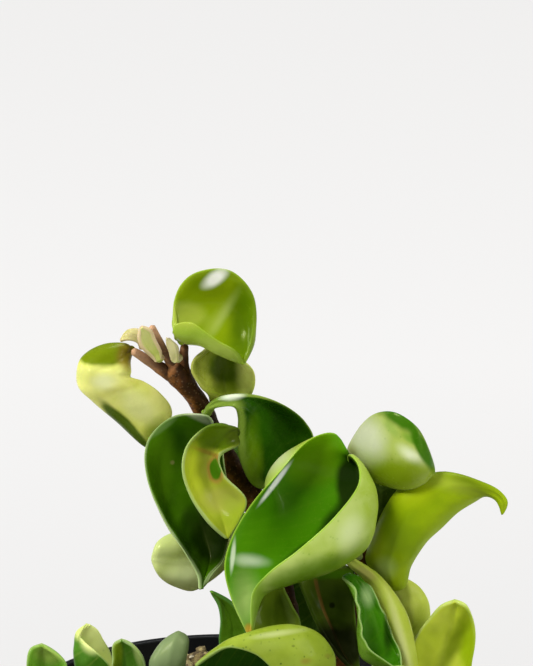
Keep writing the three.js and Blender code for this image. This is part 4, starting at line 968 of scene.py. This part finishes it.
traced_leaf("leaf_bud_small", wave=(0.05, 2, 0), tip=(-14.5, 93, -1.6),
    stalk=[(-12.6, 87.6, -0.8)], rows=[
        ((-14.4, 89.7, -1.4), (-13.1, 89.3, -2.1), (-11.7, 89.5, -1.6), 0.2, 0.2),
        ((-15, 91.5, -1.4), (-13.6, 91.2, -2.2), (-12, 91.1, -1.6), 0.2, 0.2)],
    upper=("#b0b464", "#c3bc88"), lower=("#b8b470", "#c9bc90"), rim="#c9b890", glow=0.15, spots=0.1,
    rib=0.05, seed=0.5)


# ---- The leaves on the left of the tall stem
# A large dark bowl of a leaf, a yellow-green one curled inside it, and the pale underside of one that
# hangs behind them: thick waxy blades, all three grown from the tall stem, below its fork.
traced_leaf("leaf_left_bowl", wave=(0.4, 3, 0.5), tip=(-6.3, 30, -3.2),
    stalk=[(-3.6, 69.2, 5.4)], rows=[
        ((-1.2, 68.4, 2.5), (-5, 69.6, 5), (-4.8, 73.6, 0.4), 0.8, 1),
        ((-0.6, 63.5, 2), (-7.5, 64.5, 8.5), (-12.8, 73.8, -1), 1.2, 3),
        ((0.6, 56.5, 2.5), (-8.5, 56.5, 9), (-19.2, 67.5, -1.5), 1.2, 3.2),
        ((1.4, 49.5, 2.5), (-7.5, 50, 8.5), (-19.8, 58, -2.5), 1.2, 3.2),
        ((0.8, 43, 1.5), (-5.5, 43.3, 6.2), (-16, 47.8, -3), 1, 2.4),
        ((-0.6, 37.5, -0.5), (-4, 37.5, 3), (-10, 39.3, -3.2), 0.6, 1.2),
        ((-4, 33.8, -1.8), (-5.2, 33.5, -0.6), (-7, 33.4, -3.2), 0.3, 0.3)],
    upper=("#3e6a02", "#4e8004"), lower=("#7f9648", "#a3b474"), rim="#a3b87c", glow=0.03, rims=(0.2, 0.6),
    rib=0.0, vein=0.03, gloss=0.44, seed=0.6, patches=[
        # Painted shade under the rolled rim at the top left, and a painted lit band down the left side.
        (-13.5, 68.4, 3.6, 3.6, 0, "#2c5c0a", 0.7, "upper", 0.5),
        (-16.6, 61, 2.8, 10, -6, "#6c9e12", 0.75, "upper", 0.6),
        # Painted shade: the dark lower right of the bowl.
        (-9, 45, 3, 8, -20, "#163602", 0.75, "upper", 0.45),
        (-3, 43, 7, 9, 0, "#0c1e00", 0.98, "upper", 0.5),
        # Painted highlights: on the rim at the top and at the left, and a glint near the tip.
        (-6.6, 73, 3.4, 0.9, -24, "#c9d2ae", 0.85, "both", 0.6),
        (-15.6, 70.6, 3.6, 0.6, 38, "#8ca86c", 0.4, "both", 0.6),
        (-4, 38.6, 1.6, 3, -36, "#dfe6cf", 0.6, "lower", 0.6),
        (-13.5, 61.8, 0.5, 0.5, 0, "#b0a86a", 0.6, "upper", 0.5)])
traced_leaf("leaf_left_inner", wave=(0.3, 2, 2), tip=(0.2, 42.8, -5.4),
    stalk=[(1.2, 66.4, 5.2), (2.4, 69.6, 1)], rows=[
        ((3.4, 66.2, -2.6), (0.4, 69, -0.6), (-4.6, 71.2, -4.4), 0.6, 1),
        ((-1.6, 63.6, -3.4), (-4.6, 63, 0.4), (-9.2, 66.6, -6), 0.8, 1.8),
        ((-0.8, 58.8, -3.6), (-4.2, 57.5, 0.4), (-10.7, 60.5, -7), 0.8, 2),
        ((5, 52.3, -4.4), (-2.5, 51.7, -1), (-9, 53.6, -7), 1, 1.5),
        ((3.6, 47.6, -4.8), (-1, 47.4, -3.4), (-5, 47.3, -6.8), 0.5, 0.6)],
    upper=("#9cac24", "#aeb43c"), lower=("#7f9e3c", "#9db45a"), rim="#9cb06c", glow=0.06, gloss=0.55,
    rims=(0.2, 0.7), rib=0.0, vein=0.04, seed=0.7, patches=[
        # Painted shade: the top of the curled leaf, the right end of its hood and its upper left.
        (-0.6, 68.6, 7, 3.9, 0, "#4a6600", 0.96, "both", 0.3),
        (2.6, 68.4, 3, 3, 0, "#2a3600", 0.85, "both", 0.5),
        (-7, 66, 2.6, 2.6, 0, "#4f6a08", 0.7, "upper", 0.5),
        (-7.8, 59.5, 1.8, 6, 4, "#c3d02c", 0.7, "upper", 0.7),
        (-1, 52.6, 4.5, 3, 0, "#a8a450", 0.6, "upper", 0.5),
        (2.6, 48.4, 2.6, 4.5, 20, "#90a824", 0.5, "upper", 0.7),
        (-2.6, 60.4, 2.5, 3.8, 0, "#a8803c", 0.85, "upper", 0.18),
        (-2.6, 60.4, 1.7, 3, 0, "#3c7406", 0.97, "upper", 0.14),
        (-3.6, 64, 4, 0.6, -20, "#8f6c24", 0.6, "upper", 0.6),
        (-1, 60.6, 3.4, 0.5, -62, "#9c7034", 0.7, "upper", 0.4)])
traced_leaf("leaf_left_under", wave=(0.3, 2, 0), tip=(-18.6, 37.5, 7.8),
    stalk=[(5, 41.5, 13)], rows=[
        ((-1.5, 43, 13.5), (-2, 37.8, 12), (-3.4, 32.4, 13), 0.6, 0.6),
        ((-7.8, 44.6, 12.5), (-8.2, 37.2, 9.8), (-8.4, 29.2, 11.3), 1.2, 1.2),
        ((-13.5, 44.2, 10.5), (-13.5, 36.8, 7.8), (-12.8, 30.6, 9.5), 1.5, 1.5),
        ((-17, 42, 8.8), (-17.2, 37.4, 7.2), (-16.4, 33, 8.4), 1, 1)],
    upper=("#5a7a20", "#7c9440"), lower=("#9caa54", "#b5c078"), rim="#b4c494", glow=0.05, spots=0.1,
    rib=0.05, seed=0.8, patches=[
        # Painted light: a pale patch that lightens the lower part where it would be in shade.
        (-9, 32.5, 5.5, 4, 0, "#dfe8a8", 0.85, "both", 0.8)])


# ---- The leaves in the middle
# A dark glossy leaf that arches over from the tall stem, and in front of it the biggest leaf of all,
# a thick waxy blade folded like a boat, on a stalk from the right stem.
traced_leaf("leaf_arch", wave=(0.35, 2, 1), tip=(16, 54.8, 12.5),
    stalk=[(-4.9, 74.2, 4.2), (-4, 75.6, 2.4)], rows=[
        ((-1.8, 78.3, 0.8), (-2, 76.9, 0.4), (-2.1, 75.7, 0.8), 0.1, 0.1),
        ((3.4, 78.9, 1.6), (2.9, 77.3, 2), (1.7, 75.7, 1), 0.2, 0.2),
        ((9, 78.5, 6), (7.2, 74.6, 8), (3.2, 73, 3.5), 1, 1),
        ((14.8, 76, 9.5), (11.6, 69.6, 12), (3, 67, 5), 1.5, 1.5),
        ((19.8, 71.8, 12), (14.6, 64.6, 14), (3.8, 61.3, 6.5), 1.5, 1.5),
        ((22, 67, 13.5), (16.5, 60, 14.5), (7, 55.8, 7.5), 1, 1)],
    upper=("#1c4602", "#2a5a04"), lower=("#7f9c3c", "#a0b85c"), rim="#8aa43c", glow=0.03,
    rims=(0.25, 3.0), rib=0.02, vein=0.03, gloss=0.26, seed=0.9, patches=[
        (15, 72.5, 6.5, 5, 0, "#143a00", 0.8, "upper", 0.4),
        (7, 63, 2, 8, 0, "#769a0a", 0.8, "upper", 0.6),
        # Painted highlight at the top left of the arch.
        (1.6, 78.4, 2.8, 0.9, 8, "#e6eed2", 0.9, "both", 0.6),
        (9, 70, 2.6, 5, 0, "#356e06", 0.5, "upper", 0.6)])
traced_leaf("leaf_bowl", wave=(0.35, 2, 0), tip=(5.9, 18.4, -15),
    stalk=[(33.4, 52, 11), (31.8, 56.4, 7.6)], rows=[
        ((30.6, 63.4, 1), (32.2, 61.8, 4.5), (27.6, 69, 1.5), 0.6, 1),
        ((32.8, 60.8, -5), (35, 55.6, 2), (20.6, 67.5, -2), 1.5, (-12.5, 1, 4.5)),
        ((33, 56.3, -9), (35.6, 49.2, 0), (13, 59.6, -6), 3, (-13.5, 2.6, 4.5)),
        ((27.3, 48.3, -12), (34.8, 41.4, -2.5), (6.5, 51.8, -8.5), 3.5, (-7, 1, 4.5)),
        ((18.5, 40.3, -14.5), (27, 35.6, -6), (1.5, 43, -10), 3, 5),
        ((10.5, 34.3, -15.5), (16, 32, -9.5), (-0.4, 35.8, -11.5), 1.8, 2.8),
        ((6.6, 29.3, -15), (9, 29, -12), (1, 28.3, -12.5), 0.7, 0.8)],
    upper=("#407c02", "#4a8a02"), lower=("#98b03c", "#b0c268"), rim="#8cb034", glow=0.04, spots=0.25,
    rims=(0.4, 0.35), rib=0.0, vein=0.03, gloss=0.46, seed=1.0, patches=[
        (22, 64, 6, 7, 0, "#74a406", 0.75, "upper", 0.6),
        (14, 50, 5, 6, 40, "#367002", 0.5, "upper", 0.6),
        (8, 40, 5, 8, 0, "#5c9c0a", 0.5, "upper", 0.5),
        # Painted shade: the dark strip inside the right half, along the crease.
        (30.6, 56.5, 8, 2.8, 84, "#0c2400", 0.96, "upper", 0.4),
        (26.6, 46.4, 8, 2.4, 52, "#0f2e02", 0.9, "upper", 0.5),
        (19, 40, 6, 1.2, 36, "#1f4a02", 0.7, "upper", 0.4),
        # Painted highlights: a streak inside the left margin, and two near the bottom left.
        (12.4, 56.8, 5.4, 0.55, 53, "#fbfdf2", 0.97, "upper", 0.5),
        (1.7, 38.6, 4, 0.5, 84, "#e3efcc", 0.7, "upper", 0.5),
        (6.4, 37.2, 3.2, 1.3, -4, "#e0eec8", 0.85, "upper", 0.9),
        (5, 27.4, 3, 6, 0, "#b8c878", 0.65, "both", 0.9),
        (5.6, 20.2, 1.1, 1.6, 0, "#b5852a", 0.8, "both", 0.4),
        (18, 33.6, 14.5, 3.8, 17, "#4e7000", 0.98, "lower", 0.5),
        (7.6, 26.4, 2.6, 8, -8, "#5e8404", 0.95, "lower", 0.6),
        (32.5, 38.6, 5, 2, 50, "#6a8806", 0.8, "lower", 0.6),
        # Painted highlights over the pale underside: on the belly at the right and on the shoulder at the
        # upper left.
        (31, 44.6, 3, 4.5, -20, "#c9d59c", 0.7, "lower", 0.6),
        (13, 64.6, 6, 2.6, 50, "#c6cf9c", 0.8, "lower", 0.6),
        (19, 68, 5, 2, 35, "#8aa028", 0.7, "lower", 0.6)])


# ---- The leaves on the right
# A leaf that shows its pale underside, a long one like a horn with a hooked tip, two small ones, and a
# glossy one with a crimped margin beside a pale hood. All six are waxy and grow from the right stem.
traced_leaf("leaf_upper_right", wave=(0.3, 2, 2), tip=(52.2, 59, 2.9),
    stalk=[(34.6, 62.4, 13.4)], rows=[
        ((33.2, 67.8, 13), (32.6, 62.4, 11.2), (31.6, 67, 9), 0.8, 1.2),
        ((36.8, 72.4, 12), (36.2, 58.2, 8.8), (36.2, 73.6, 5.6), 2, 3.4),
        ((42, 72.8, 10.5), (41.6, 56.2, 5), (42.2, 74.5, 2), 2.5, 4.2),
        ((46.8, 69.6, 8), (46, 55.8, 2.6), (47.6, 71, 0.2), 2, 3.8),
        ((50, 65.2, 6), (49.2, 57.2, 2.2), (50.7, 65.6, 0.6), 1, 2.2),
        ((51.6, 61.4, 4.4), (51.2, 59, 2.6), (52, 61.2, 1.6), 0.4, 0.4)],
    upper=("#2c6404", "#3d7a0a"), lower=("#8ea038", "#a4b458"), rim="#93ac48", glow=0.05, spots=0.4,
    rims=(0.3, 0.3), rib=0.03, gloss=0.24, seed=1.1, patches=[
        (34.6, 67.6, 5, 5.4, 20, "#c9ceae", 0.85, "lower", 0.6),
        # Painted highlight on the pale underside.
        (46.6, 63.4, 3.6, 1.4, -36, "#e3e8c6", 0.7, "lower", 0.8),
        (43.6, 59, 11, 3, 8, "#7a9208", 0.9, "lower", 0.6),
        (31, 63.5, 2.2, 3, 0, "#7d7422", 0.5, "lower", 0.5),
        (43.6, 72.8, 6.2, 2.0, -32, "#336604", 0.97, "both", 0.5),
        (41.4, 70.4, 2.6, 1, -50, "#7f9e44", 0.6, "both", 0.7),
        (46.6, 67.6, 2.6, 1, -30, "#5c8a1c", 0.75, "both", 0.6),
        (49.4, 65, 6.5, 1.6, -62, "#336604", 0.97, "both", 0.35)])
traced_leaf("leaf_horn", wave=(0.35, 3, 0), tip=(69.5, 49, 3.3),
    stalk=[(38.6, 31.5, 9.5)], rows=[
        ((44.6, 30.4, 6.5), (42, 30.6, 5.2), (39, 31.2, 8), 0.3, 0.3),
        ((46.3, 36, 5.5), (40.8, 36.4, 2.8), (35, 37.4, 7.7), 1.2, 1.2),
        ((50, 41.3, 5), (43.2, 42.5, 1.6), (36.6, 43, 7.6), 1.6, 1.6),
        ((54, 45, 5), (46, 48.8, 1.8), (39.8, 49.6, 7.4), 1.8, 1.8),
        ((58.5, 49.8, 5.5), (51, 53.8, 2.4), (44.4, 55.8, 7.4), 1.6, 1.6),
        ((62.8, 52.4, 5.5), (57.3, 56, 2.6), (53.4, 59.4, 6.6), 1.2, 1.2),
        ((65.5, 53.5, 4.6), (65, 54.9, 3.4), (64.7, 56.5, 4.8), 0.3, 0.3),
        ((67.6, 52.6, 4.2), (68.2, 53.4, 3.4), (68.9, 54.2, 4), 0.1, 0.1),
        ((68.8, 50.9, 3.8), (69.5, 51.6, 3.1), (70.4, 52.1, 3.6), 0.1, 0.1)],
    upper=("#7e9802", "#90a808"), lower=("#7e9802", "#90a808"), rim="#8ea428", glow=0.06, spots=0.3,
    rims=(0.3, 0.3), rib=0.04, gloss=0.48, seed=1.2, patches=[
        (47, 54.6, 5, 3.4, 20, "#9cae0c", 0.7, "both", 0.6),
        (61, 56, 7, 2.6, -18, "#526600", 0.9, "both", 0.6),
        (44.5, 43, 4, 5.5, 20, "#6c8804", 0.6, "both", 0.6),
        (37.4, 42.5, 1.8, 7, 0, "#8a9c0a", 0.85, "both", 0.6),
        (54, 57, 9, 1.6, -16, "#a3b434", 0.6, "both", 0.9),
        # Painted highlight low on the left of the blade.
        (39.8, 35, 2.4, 2.4, 0, "#a8bc6c", 0.6, "both", 0.8)])
traced_leaf("leaf_right_small", wave=(0.3, 2, 0), tip=(44.8, 32.6, 11),
    stalk=[(41, 16, 9.6)], rows=[
        ((50.2, 19.6, 10.6), (46.6, 19, 8.8), (42.8, 20, 10.6), 0.3, 0.3),
        ((51.2, 26, 11), (46.6, 26, 8.6), (41.4, 26.6, 10.8), 0.6, 0.6),
        ((49, 29.6, 11.2), (45.8, 30.2, 9.8), (42.2, 30.6, 11), 0.3, 0.3)],
    upper=("#a3b83c", "#b8c852"), lower=("#b8c64a", "#cad46a"), rim="#b8c468", glow=0.08, rib=0.05,
    gloss=0.4, seed=1.3)
traced_leaf("leaf_right_low", wave=(0.3, 2, 1), tip=(57.4, 26.9, 3.4),
    stalk=[(42, 2.5, 7)], rows=[
        ((47, 6.4, 3.8), (53, 5.2, 5.4), (60, 6.4, 2.4), 0.6, 0.6),
        ((46.2, 12.8, 3.6), (54.4, 12.2, 6), (62.2, 12.8, 1.2), 0.8, 1.2),
        ((47.4, 17.8, 3.6), (55.8, 17.4, 6), (62.5, 17.8, 0.8), 0.8, 1.2),
        ((51, 22.4, 3.2), (57.4, 21.8, 5.2), (61.6, 22.8, 1), 0.6, 0.8),
        ((54, 25.6, 3), (57.8, 26, 4.4), (60.4, 25.6, 1.8), 0.2, 0.2)],
    upper=("#b0c02c", "#c3d040"), lower=("#a3b548", "#bac870"), rim="#b5c468", glow=0.08, rib=0.0,
    vein=0.04, gloss=0.4, seed=1.4, patches=[
        (61.2, 15, 2.6, 9, 0, "#98b404", 0.9, "upper", 0.6),
        # Painted shade: the dark band down the fold.
        (57, 15.6, 9.5, 1.9, 66, "#66780a", 0.85, "upper", 0.7)])
traced_leaf("leaf_front_right", wave=(0.5, 4, 0), tip=(43.8, 9.5, -12.5),
    stalk=[(33.8, 32.2, 4.4), (32.6, 31.4, 1.2)], rows=[
        ((34, 32.6, -3), (31.6, 33.5, -3.2), (29.2, 33.5, -3.8), 0.3, 0.3),
        ((37, 29.8, -4.8), (34.6, 28.6, -5.2), (31.6, 30, -9), 0.5, 1),
        ((39, 25.2, -5.4), (36.8, 24, -5.6), (33.6, 25.2, -12.5), 0.5, (-1.2, 0, 1.5)),
        ((41.2, 19.8, -6.5), (39, 18.4, -6.5), (33.8, 18.4, -14.5), 0.5, (-2.6, -0.4, 1.8)),
        ((43.6, 14.5, -7.5), (41.6, 13.2, -8), (37, 14.4, -15), 0.5, (-4.4, -1, 2.4))],
    upper=("#2c6402", "#387406"), lower=("#5c8a14", "#78a034"), rim="#9cb86c", glow=0.04, crimp=0.3,
    rims=(0.15, 0.25), rib=0.0, gloss=0.3, seed=1.5, patches=[
        # Painted shadow along the crease under the hood, and a painted highlight near the top.
        (40.6, 21, 1.2, 7, 0, "#143602", 0.9, "upper", 0.5),
        (35.6, 28, 1.5, 2.6, 10, "#a3bc7c", 0.6, "upper", 0.7)])
traced_leaf("leaf_hood", wave=(0.3, 2, 0), tip=(46.4, 2, -4.6),
    stalk=[(30.4, 37.6, 5.6)], rows=[
        ((30.8, 36, 1.8), (31.6, 36.7, 1.2), (32.6, 36.8, 2.2), 0.2, 0.2),
        ((35, 32.4, 0.6), (36.8, 32.8, -0.6), (38, 33.2, 1.6), 0.4, 0.4),
        ((37.6, 27.8, 0), (40.2, 28.4, -1.8), (42, 28.8, 1.4), 0.6, 0.6),
        ((39.8, 22.8, -0.6), (42.6, 23, -2.8), (45, 23.6, 1), 0.8, 0.8),
        ((41.8, 16, -1.4), (44.6, 16, -3.8), (46.8, 16, 0.4), 0.8, 0.8),
        ((43.7, 8, -2.6), (46, 7.2, -4.8), (47.8, 7.5, -0.8), 0.6, 0.6)],
    upper=("#8c9e3c", "#a3b254"), lower=("#a8b83c", "#b8c458"), rim="#b3c070", glow=0.06, rims=(0.3, 0.3),
    rib=0.03, gloss=0.4, seed=1.6, patches=[
        (43.8, 18, 9, 0.9, -74, "#d0cca0", 0.4, "both", 0.9),
        (35, 34, 2.4, 1, -30, "#b5a468", 0.5, "both", 0.6)])


# ---- The leaves at the foot
# Waxy leaves low down: a dark and an olive one in the gaps behind the big one, from the right and the
# tall stem, then a pale one that arches at the front and a small dark spike, from the front stem.
traced_leaf("leaf_heart_dark", wave=(0.3, 2, 0), tip=(33, 8.5, -2.6),
    stalk=[(29, 34.5, 9)], rows=[
        ((31.2, 35.5, 6.7), (22.6, 35, 6.6), (18.3, 32.8, 4), 0.8, 0.5),
        ((32.2, 26.6, 1.4), (23.8, 26.4, 4.8), (20, 26.8, 2.4), 1.2, 0.5),
        ((32.8, 20.6, -0.4), (26.4, 20, 2.8), (23, 21, 0.4), 1, 0.5),
        ((33.2, 14.8, -1.8), (29.2, 14, 0.4), (26.4, 15.6, -1.2), 0.6, 0.4)],
    upper=("#3a4e0a", "#4e6410"), lower=("#3a4c14", "#54662a"), rim="#54701c", glow=0.0, rims=(0.3, 0.3),
    rib=0.85, rib_tone="#8a6430", vein=0.03, gloss=0.5, seed=1.7, patches=[
        # The first and last patches are painted shade: a small dark spot, and the lower part darkened almost
        # to black.
        (26.6, 25.8, 0.7, 0.7, 0, "#0a1003", 0.9, "both", 0.4),
        (26.8, 33.6, 8, 1.3, 4, "#4c7a08", 0.95, "both", 0.4),
        (27.5, 15, 9, 6, 0, "#080c02", 0.95, "both", 0.35)])
traced_leaf("leaf_heart_olive", wave=(0.2, 2, 0), tip=(12.6, 12.8, -8.6),
    stalk=[(14.2, 33.6, 4)], rows=[
        ((14.4, 30.6, 1), (12.2, 30.8, 2), (9.6, 30, 1), 0.3, 0.3),
        ((16.4, 26.2, -2), (12, 26, 0), (6.4, 26, -2), 0.8, 0.8),
        ((18.6, 22.2, -4.5), (12.2, 21.4, -2.6), (5.4, 21.4, -5), 0.8, 0.8),
        ((18, 17.8, -7), (12.6, 17, -5.4), (7.6, 17.6, -7.4), 0.4, 0.4)],
    upper=("#4a600a", "#5e7412"), lower=("#5a6e20", "#76883a"), rim="#6c8430", glow=0.02,
    rims=(0.25, 0.25), rib=0.05, gloss=0.45, seed=1.8)
traced_leaf("leaf_front_arch", wave=(0.4, 3, 0), tip=(-7.6, 10.8, -20.6),
    stalk=[(26.5, 10.5, -14)], rows=[
        ((26.6, 10.4, -13), (26.2, 14, -16.4), (25.2, 8.4, -19), 0.4, 0.8),
        ((21.6, 10.6, -12.6), (22.2, 18.8, -18.2), (19.6, 5.4, -23.4), 0.8, 2.2),
        ((15.6, 10, -12.6), (16.2, 20.5, -19.4), (12.6, 9.4, -25.6), 1, 2.4),
        ((9.4, 8.4, -12.8), (9.8, 19.8, -20.2), (7.2, 14, -26.2), 1, 1.8),
        ((3.6, 7.2, -13.6), (3.6, 17.7, -20.6), (1.2, 15.6, -25.6), 0.8, 1),
        ((-1.6, 7.6, -15.6), (-2.4, 14.7, -20.8), (-3.6, 13.7, -23.8), 0.4, 0.3)],
    upper=("#1c4606", "#265a0a"), lower=("#7f9224", "#92a438"), rim="#8aa454", glow=0.05, spots=0.8,
    rims=(0.3, 0.3), rib=0.0, gloss=0.5, seed=1.9, patches=[
        (20, 12.2, 2, 1, 10, "#8a5a2c", 0.85, "lower", 0.6),
        (25.4, 13.4, 1, 0.7, 0, "#7c5a30", 0.7, "lower", 0.6),
        (12.5, 19, 7, 0.8, 8, "#c6cc90", 0.6, "lower", 0.6),
        (16.8, 16, 0.6, 0.4, 0, "#2c3a14", 0.9, "lower", 0.4),
        (23, 14.5, 4, 5, 0, "#748a10", 0.8, "lower", 0.6),
        (10, 16, 6, 2, 8, "#a0b054", 0.5, "lower", 0.6)])
traced_leaf("leaf_spike", wave=(0.15, 2, 0), tip=(-3.6, 29.4, -8.6),
    stalk=[(3, 8, -6.5)], rows=[
        ((-1.6, 15.4, -7), (1.8, 15.4, -5.6), (5, 15.6, -7), 0.2, 0.2),
        ((-1.5, 22.5, -8), (1.4, 22, -6.4), (4.6, 20.8, -7.4), 0.3, 0.3),
        ((-2.2, 26.8, -8.4), (-0.6, 26.4, -7.2), (1.5, 26.4, -8), 0.2, 0.2)],
    upper=("#466a10", "#557e18"), lower=("#446c14", "#588a24"), rim="#4c7a34", glow=0.02,
    rims=(0.25, 0.25), rib=0.04, seed=2.0)


# ---- The low leaves on the left
# Four small upright waxy leaves of the short stem that leans out to the left. One of them is rolled,
# so that it shows its pale underside.
traced_leaf("leaf_left_end", wave=(0.3, 2, 0), tip=(-46.4, 15.9, -3.6),
    stalk=[(-38.5, 2.6, -1)], rows=[
        ((-49, 5, -4.5), (-45.2, 4.6, -0.5), (-41.6, 5, -4.5), 0.6, 0.6),
        ((-50.3, 10.4, -5.5), (-45.4, 10, -0.6), (-40, 10.4, -5.5), 0.8, 0.8),
        ((-49.2, 14.6, -5), (-46.2, 14.4, -2), (-42.9, 13.8, -4.6), 0.4, 0.4)],
    upper=("#508a18", "#76ac30"), lower=("#7f9650", "#9cad70"), rim="#7fa44c", glow=0.05,
    rims=(0.25, 0.25), rib=0.05, seed=2.1, patches=[
        (-44.6, 13.8, 3.4, 2.4, 0, "#a3bc54", 0.7, "upper", 0.6)])
traced_leaf("leaf_left_curl", wave=(0.2, 2, 0), tip=(-34.8, 21, -1.2),
    stalk=[(-36, 4.4, -1)], rows=[
        ((-28.4, 9, 1.8), (-36.8, 6.2, -1), (-28, 6.8, -5), -0.6, -0.8),
        ((-29, 13.6, 1.5), (-37.8, 11, -2), (-29.5, 11.2, -6), -1, -1),
        ((-30.8, 17, 0.6), (-38, 15, -2.5), (-33, 14.4, -6), -1, -0.8),
        ((-32.4, 19.8, 0), (-37.1, 19.2, -2), (-36.6, 17.4, -4.4), -0.4, -0.3)],
    upper=("#386810", "#4a7e1e"), lower=("#b8c660", "#c9d680"), rim="#a0b868", glow=0.08,
    rims=(0.25, 0.25), rib=0.04, gloss=0.4, seed=2.2, patches=[
        (-35.6, 19.6, 3.6, 3, -30, "#c6d078", 0.95, "both", 0.4),
        (-33.2, 17.2, 3, 3.6, -40, "#e2ea94", 0.9, "both", 0.4)])
traced_leaf("leaf_left_mid", wave=(0.3, 2, 0), tip=(-26.2, 17.2, -9),
    stalk=[(-25.2, 4, -6)], rows=[
        ((-29, 6.2, -9), (-24.8, 5.8, -6.4), (-20.4, 6.8, -8), 0.4, 0.4),
        ((-28.6, 12, -10), (-25.3, 11.6, -7), (-20.4, 11.8, -8.6), 0.6, 0.6),
        ((-28.3, 15.9, -9.4), (-26, 16.3, -8.4), (-23.5, 15.9, -8.8), 0.2, 0.2)],
    upper=("#3c6a14", "#4c7e20"), lower=("#7f9450", "#9cac74"), rim="#98b070", glow=0.03,
    rims=(0.25, 0.4), rib=0.05, seed=2.3, patches=[
        (-27.6, 13, 1.6, 4, 0, "#6c8010", 0.8, "upper", 0.4),
        (-22.4, 14.4, 1, 4, 14, "#a3b868", 0.7, "both", 0.5)])
traced_leaf("leaf_left_pale", wave=(0.3, 2, 0), tip=(-11.9, 19.2, -9.6),
    stalk=[(-17.5, 2, -8)], rows=[
        ((-11.6, 6.8, -10.6), (-15.2, 6, -13), (-18.8, 7.2, -11.6), 0.6, 0.6),
        ((-10.2, 12.4, -10.6), (-14.5, 12, -14), (-19.4, 12, -11.8), 1, 1),
        ((-9.4, 15.8, -9.8), (-13.2, 16.2, -12.4), (-17.2, 15, -10.6), 0.8, 0.8),
        ((-9.9, 18, -9.4), (-12.2, 18.5, -10.6), (-14.8, 17.4, -9.8), 0.2, 0.2)],
    upper=("#54703c", "#6c8650"), lower=("#62734a", "#788a5c"), rim="#6c8448", glow=0.03, spots=0.1,
    rims=(0.4, 0.3), rib=0.05, gloss=0.4, seed=2.4)


# ---- The leaves at the back and round the foot
# Twelve more waxy leaves of the same plant, which fill its far side and its foot. Each is drawn by a
# rule: its midrib rises and droops, its halves fold up beside it, and it rolls to one side.
GROWN_ROWS = 5
GROWN_SEED, GROWN_SEED_STEP = 5, 0.1
# A blade's width follows a sine over this start and sweep, in half turns, raised to this power.
BULGE_START, BULGE_SWEEP, BULGE_POWER = 0.12, 0.8, 0.8
# Its fold starts at this many times the leaf's own, and eases by this much up to its tip.
FOLD_START, FOLD_EASE = 1.1, 0.4
# Each half bellies out by this share of its width.
GROWN_BELLY = 0.14
# Each leaf: where its stalk starts, in mm; its heading, rise and droop, in degrees; its length and
# width, in mm; its fold and roll, in degrees; its wave; and its colour.
GROWN = {
    "leaf_back_top": ((21, 47, 34), 100, 40, 110, 30, 21, 35, 20, (0.5, 2, 0), "#5f8a24"),
    "leaf_back_right": ((24.5, 40, 32.5), 25, 25, 90, 28, 20, 40, -20, (0.5, 2, 1), "#8aa83a"),
    "leaf_back_left": ((14.5, 37, 32), 165, 20, 80, 28, 20, 40, 25, (0.5, 2, 2), "#3f7014"),
    "leaf_back_middle": ((19, 28, 35), 80, 15, 80, 28, 20, 35, 0, (0.5, 2, 3), "#4c7c1a"),
    # Painted shade: this dark tone stands in for the shadow deep among the leaves at the back of the foot.
    "leaf_back_low_left": ((16.5, 9.5, 21), 90, 89, 8, 30, 24, 20, 0, (0.5, 2, 4), "#33560f"),
    "leaf_back_low_right": ((20, 10.5, 30.5), 12, 35, 60, 29, 21, 35, 10, (0.5, 2, 5), "#46761c"),
    # Painted shade: the dark tones of these two stand in for the shadow in the gaps that they fill.
    "leaf_behind_upper": ((8, 56, 16), 100, 25, 80, 26, 19, 40, -20, (0.5, 2, 1.5), "#33540c"),
    "leaf_behind_right": ((38.4, 41, 15.6), 80, 78, 30, 24, 20, 25, 10, (0.4, 2, 2.5), "#2c400c"),
    "leaf_side_low": ((33.5, 5, 14.5), 12, 14, 45, 25, 18, 40, -10, (0.5, 2, 3.5), "#5d8a28"),
    "leaf_front_low": ((16, -1, -14), -85, 25, 60, 26, 19, 35, 10, (0.5, 2, 0.5), "#6b9330"),
    "leaf_front_low_left": ((2, -6, -10), -130, 30, 60, 25, 18, 40, -10, (0.5, 2, 4.5), "#4a7a20"),
    "leaf_front_low_right": ((30, 3, -13), -45, 20, 50, 25, 18, 40, 15, (0.5, 2, 5.5), "#86a440"),
}


def grown_shape(start, head, rise, droop, length, width, fold, roll, wave):
    """The rows of a leaf by the rule, from its stalk to its tip."""
    turn = math.radians(head)
    level = np.array([math.cos(turn), math.sin(turn), 0])
    left = np.array([-math.sin(turn), math.cos(turn), 0])
    upright = np.array([0.0, 0, 1])
    stalk = seen(start)
    place = stalk
    rows = []
    for i in range(GROWN_ROWS + 2):
        share = i / (GROWN_ROWS + 1)
        pitch = math.radians(rise - droop * share * share)
        along = level * math.cos(pitch) + upright * math.sin(pitch)
        place = place + along * length * MM / (GROWN_ROWS + 1)
        over = unit(np.cross(along, left))
        tilt = math.radians(roll * share)
        flat = left * math.cos(tilt) + over * math.sin(tilt)
        rear = over * math.cos(tilt) - left * math.sin(tilt)
        half = 0.5 * width * math.sin(math.pi * (BULGE_START + BULGE_SWEEP * share)) ** BULGE_POWER
        lift = math.radians(fold * (FOLD_START - FOLD_EASE * share))
        out, up = flat * half * math.cos(lift) * MM, rear * half * math.sin(lift) * MM
        rows.append((place + out + up, place, place - out + up, GROWN_BELLY * half, GROWN_BELLY * half))
    tip = rows.pop()[1]
    return {"stalk": [stalk], "rows": rows, "tip": tip, "wave": wave, "crimp": 0.0}


for number, (leaf_name, (*measures, tone)) in enumerate(GROWN.items()):
    look = {"upper": (tone, tone), "lower": ("#7f9a44", "#a3b670"), "rim": "#98b060", "rib": 0.1,
            "seed": GROWN_SEED + GROWN_SEED_STEP * number}
    set_leaf(leaf_name, grown_shape(*measures), look)
